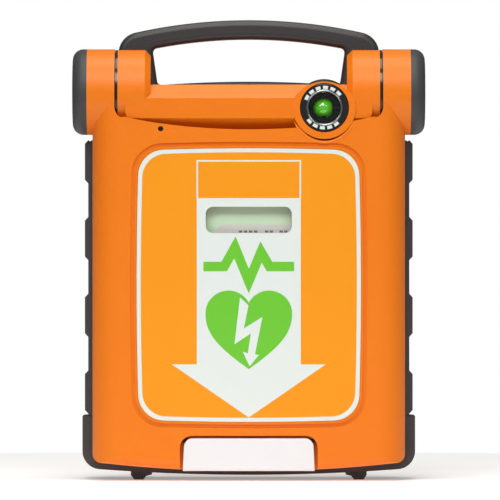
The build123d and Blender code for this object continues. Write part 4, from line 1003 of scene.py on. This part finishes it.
RING_R = 11.2 * MM
RING_THICK = 1.2 * MM
RING_BACK = 0.1 * MM
bpy.ops.object.select_all(action="DESELECT")
bpy.ops.mesh.primitive_torus_add(
    location=(bezel_x * MM, bezel_low[1] + RING_BACK, bezel_z * MM),
    rotation=(math.radians(90), 0, 0),
    major_segments=96,
    minor_segments=16,
    major_radius=RING_R,
    minor_radius=RING_THICK / 2,
)
lens_ring = bpy.context.object
lens_ring.name = "lens_ring"
settle(lens_ring)
bpy.ops.object.shade_smooth()
dress(lens_ring, chrome)
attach(lens_ring, "base")
print("ring is", round(2 * RING_R / MM, 1), "mm across")

# %% [markdown]
# The lid is cut back round the status boss, and the edge of the cut carries a fine raised
# lip. The cut is a sweep about the hinge, so where it meets the flat front its height
# follows from the reach of the sweep and the depth of the front.

# %% Lip round the status boss
LIP_R = 0.9 * MM
LIP_PROUD = 0.4 * MM
LIP_HALF = 19.5 * MM
LIP_TAPER = 9
LIP_TIP = 0.15
SWEEP_R = 24.5 * MM
SWEEP_REACH = 42.7 * MM
hinge_low, hinge_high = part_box("hinge_pin_right")
hinge_y = (hinge_low[1] + hinge_high[1]) / 2
hinge_z = (hinge_low[2] + hinge_high[2]) / 2
lid_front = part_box("lid_shell")[0][1]


def lip_point(sideways):
    """The middle of the lip this far to the side of the boss, as a height."""
    reach = SWEEP_REACH - SWEEP_R + math.sqrt((SWEEP_R + LIP_R) ** 2 - sideways**2)
    return hinge_z - math.sqrt(reach**2 - (hinge_y - lid_front) ** 2)


bpy.ops.object.select_all(action="DESELECT")
bpy.ops.mesh.primitive_grid_add(x_subdivisions=72, y_subdivisions=14, size=1)
lip = bpy.context.object
lip.name = "boss_lip"
STEP = 0.01 * MM
for vertex in lip.data.vertices:
    sideways = vertex.co.x * 2 * LIP_HALF
    around = (vertex.co.y + 0.5) * 2 * math.pi
    slope = (lip_point(sideways + STEP) - lip_point(sideways - STEP)) / (2 * STEP)
    size = LIP_R * min(1, (1 - abs(vertex.co.x) * 2) * LIP_TAPER + LIP_TIP)
    out = size * math.cos(around)
    vertex.co = (
        bezel_x * MM + sideways - out * slope / math.hypot(1, slope),
        lid_front + LIP_R - LIP_PROUD + size * math.sin(around),
        lip_point(sideways) + out / math.hypot(1, slope),
    )
only(lip)
bpy.ops.object.mode_set(mode="EDIT")
bpy.ops.mesh.select_all(action="SELECT")
bpy.ops.mesh.remove_doubles(threshold=0.00001)
bpy.ops.mesh.fill_holes(sides=14)
bpy.ops.mesh.normals_make_consistent(inside=False)
bpy.ops.object.mode_set(mode="OBJECT")
bpy.ops.object.shade_smooth()
dress(lip, orange)
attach(lip, "lid")
lip_middle, lip_end = (round(lip_point(sideways) / MM, 1) for sideways in (0, LIP_HALF))
print("lip runs from height", lip_middle, "to", lip_end, "mm")

# %% [markdown]
# The deck under the lid carries the signs that guide the user: a bolt on the shock button,
# the usual sign on the information button, a fine white line around the display and the
# pads' socket, and a pair of pads printed beside the socket. They are thin sheets again.

# %% Deck markings
LINE_WIDE = 0.7
LINE_ROOM = 2.0


def node_face(name):
    """The middle of a node's front, in millimetres, and where that front is, in metres."""
    low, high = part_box(name)
    return (low[0] + high[0]) / 2 / MM, (low[2] + high[2]) / 2 / MM, low[1]


def line_frame(name, x_range, z_range, line, depth, body):
    """A thin rectangular line round a place on the deck, in millimetres."""
    x0, x1 = x_range
    z0, z1 = z_range
    inner = [(x0, z0), (x1, z0), (x1, z1), (x0, z1)]
    outer = [
        (x0 - line, z0 - line),
        (x1 + line, z0 - line),
        (x1 + line, z1 + line),
        (x0 - line, z1 + line),
    ]
    frame_sheet = printed_sheet(name, outer, 1, print_white, depth)
    hole = printed_sheet("cutter", inner, CUTTER_LAYERS, print_white, depth + 0.9 * MM)
    for vertex in hole.data.vertices:
        if vertex.co.y > depth:
            vertex.co.y = depth + CUTTER_BEHIND
    bore(frame_sheet, hole)
    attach(frame_sheet, body)


shock_x, shock_z, shock_front = node_face("shock_button")
SHOCK_SIGN = 0.62
SHOCK_DOWN = 1.0
bolt_x = sum(x for x, _ in bolt) / len(bolt)
bolt_z = sum(z for _, z in bolt) / len(bolt)
small_bolt = [
    (shock_x + (x - bolt_x) * SHOCK_SIGN, shock_z + (z - bolt_z) * SHOCK_SIGN - SHOCK_DOWN)
    for x, z in bolt
]
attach(printed_sheet("shock_sign", small_bolt, 2, print_white, shock_front), "shock_key")

info_x, info_z, info_front = node_face("info_button")
STEM_HALF = 1.0
STEM_LOW = 3.6
STEM_HIGH = 1.2
DOT_R = 1.2
DOT_UP = 3.2
DOT_POINTS = 20
stem = [
    (info_x - STEM_HALF, info_z - STEM_LOW),
    (info_x + STEM_HALF, info_z - STEM_LOW),
    (info_x + STEM_HALF, info_z + STEM_HIGH),
    (info_x - STEM_HALF, info_z + STEM_HIGH),
]
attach(printed_sheet("info_sign_stem", stem, 2, print_white, info_front), "info_key")
dot_turns = [2 * math.pi * n / DOT_POINTS for n in range(DOT_POINTS)]
dot = [(info_x + DOT_R * math.cos(a), info_z + DOT_UP + DOT_R * math.sin(a)) for a in dot_turns]
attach(printed_sheet("info_sign_dot", dot, 2, print_white, info_front), "info_key")

deck_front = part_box("deck_panel")[0][1]
for label, node in (("display_line", "display_window"), ("socket_line", "pads_socket")):
    low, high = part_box(node)
    line_frame(
        label,
        (low[0] / MM - LINE_ROOM, high[0] / MM + LINE_ROOM),
        (low[2] / MM - LINE_ROOM, high[2] / MM + LINE_ROOM),
        LINE_WIDE,
        deck_front,
        "base",
    )

PAD_HALF_X = 6.5
PAD_HALF_Z = 4.6
PAD_CORNER = 2.4
PAD_PLACES = ((32.0, 4.0), (50.0, -4.0))
LEAD_PATH = ((15.0, 0.0), (22.5, 4.0), (26.5, 4.0))
LEAD_WIDE = 0.9
socket_x, socket_z, _ = node_face("pads_socket")
pad_shape = rounded(PAD_HALF_X, -PAD_HALF_Z, PAD_HALF_Z, PAD_CORNER, steps=6)
for n, (dx, dz) in enumerate(PAD_PLACES):
    outline = [(socket_x + dx + x, socket_z + dz + z) for x, z in pad_shape]
    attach(printed_sheet(f"pad_sign_{n + 1}", outline, 1, print_white, deck_front), "base")
lead = stroke([(socket_x + x, socket_z + z) for x, z in LEAD_PATH], LEAD_WIDE)
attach(printed_sheet("pad_lead_sign", lead, 1, print_white, deck_front), "base")
print("deck signs ride on base, shock_key and info_key")

# %% [markdown]
# The display behind its clear window shows a plain level bar of four lit cells.

# %% Display cells
CELLS = 4
CELL_WIDE = 8.0
CELL_STEP = 11.0
CELL_HALF_Z = 6.0
FIRST_CELL = -20.0
module_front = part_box("display_module")[0][1]
screen_x, screen_z, _ = node_face("display_window")
lcd = finish("lit_cells", tint(150, 200, 150), tint(140, 190, 140), 0.5)
for n in range(CELLS):
    left = screen_x + FIRST_CELL + n * CELL_STEP
    right = left + CELL_WIDE
    low = screen_z - CELL_HALF_Z
    high = screen_z + CELL_HALF_Z
    cell = [(left, low), (right, low), (right, high), (left, high)]
    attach(printed_sheet(f"level_cell_{n + 1}", cell, 2, lcd, module_front), "base")
print("display shows", CELLS, "cells")

# %% [markdown]
# A round dark sheet lies in the microphone's hole near the top of the lid. It is painted shade for
# the depth of the hole.

# %% Painted shade in the microphone hole
HOLE_X = -57.3
HOLE_Z = 229.1
HOLE_SHADE_R = 1.7
HOLE_SHADE_BACK = 2.3 * MM
turns = [2 * math.pi * n / 32 for n in range(32)]
hole_shade_outline = [(HOLE_X + HOLE_SHADE_R * math.cos(a), HOLE_Z + HOLE_SHADE_R * math.sin(a)) for a in turns]
# a dark sheet in the seal finish, as painted shade inside the hole
printed_sheet("microphone_hole_shade", hole_shade_outline, 1, seal, case_low[1] + HOLE_SHADE_BACK)
print("the cloth is", 2 * HOLE_SHADE_R, "mm across")
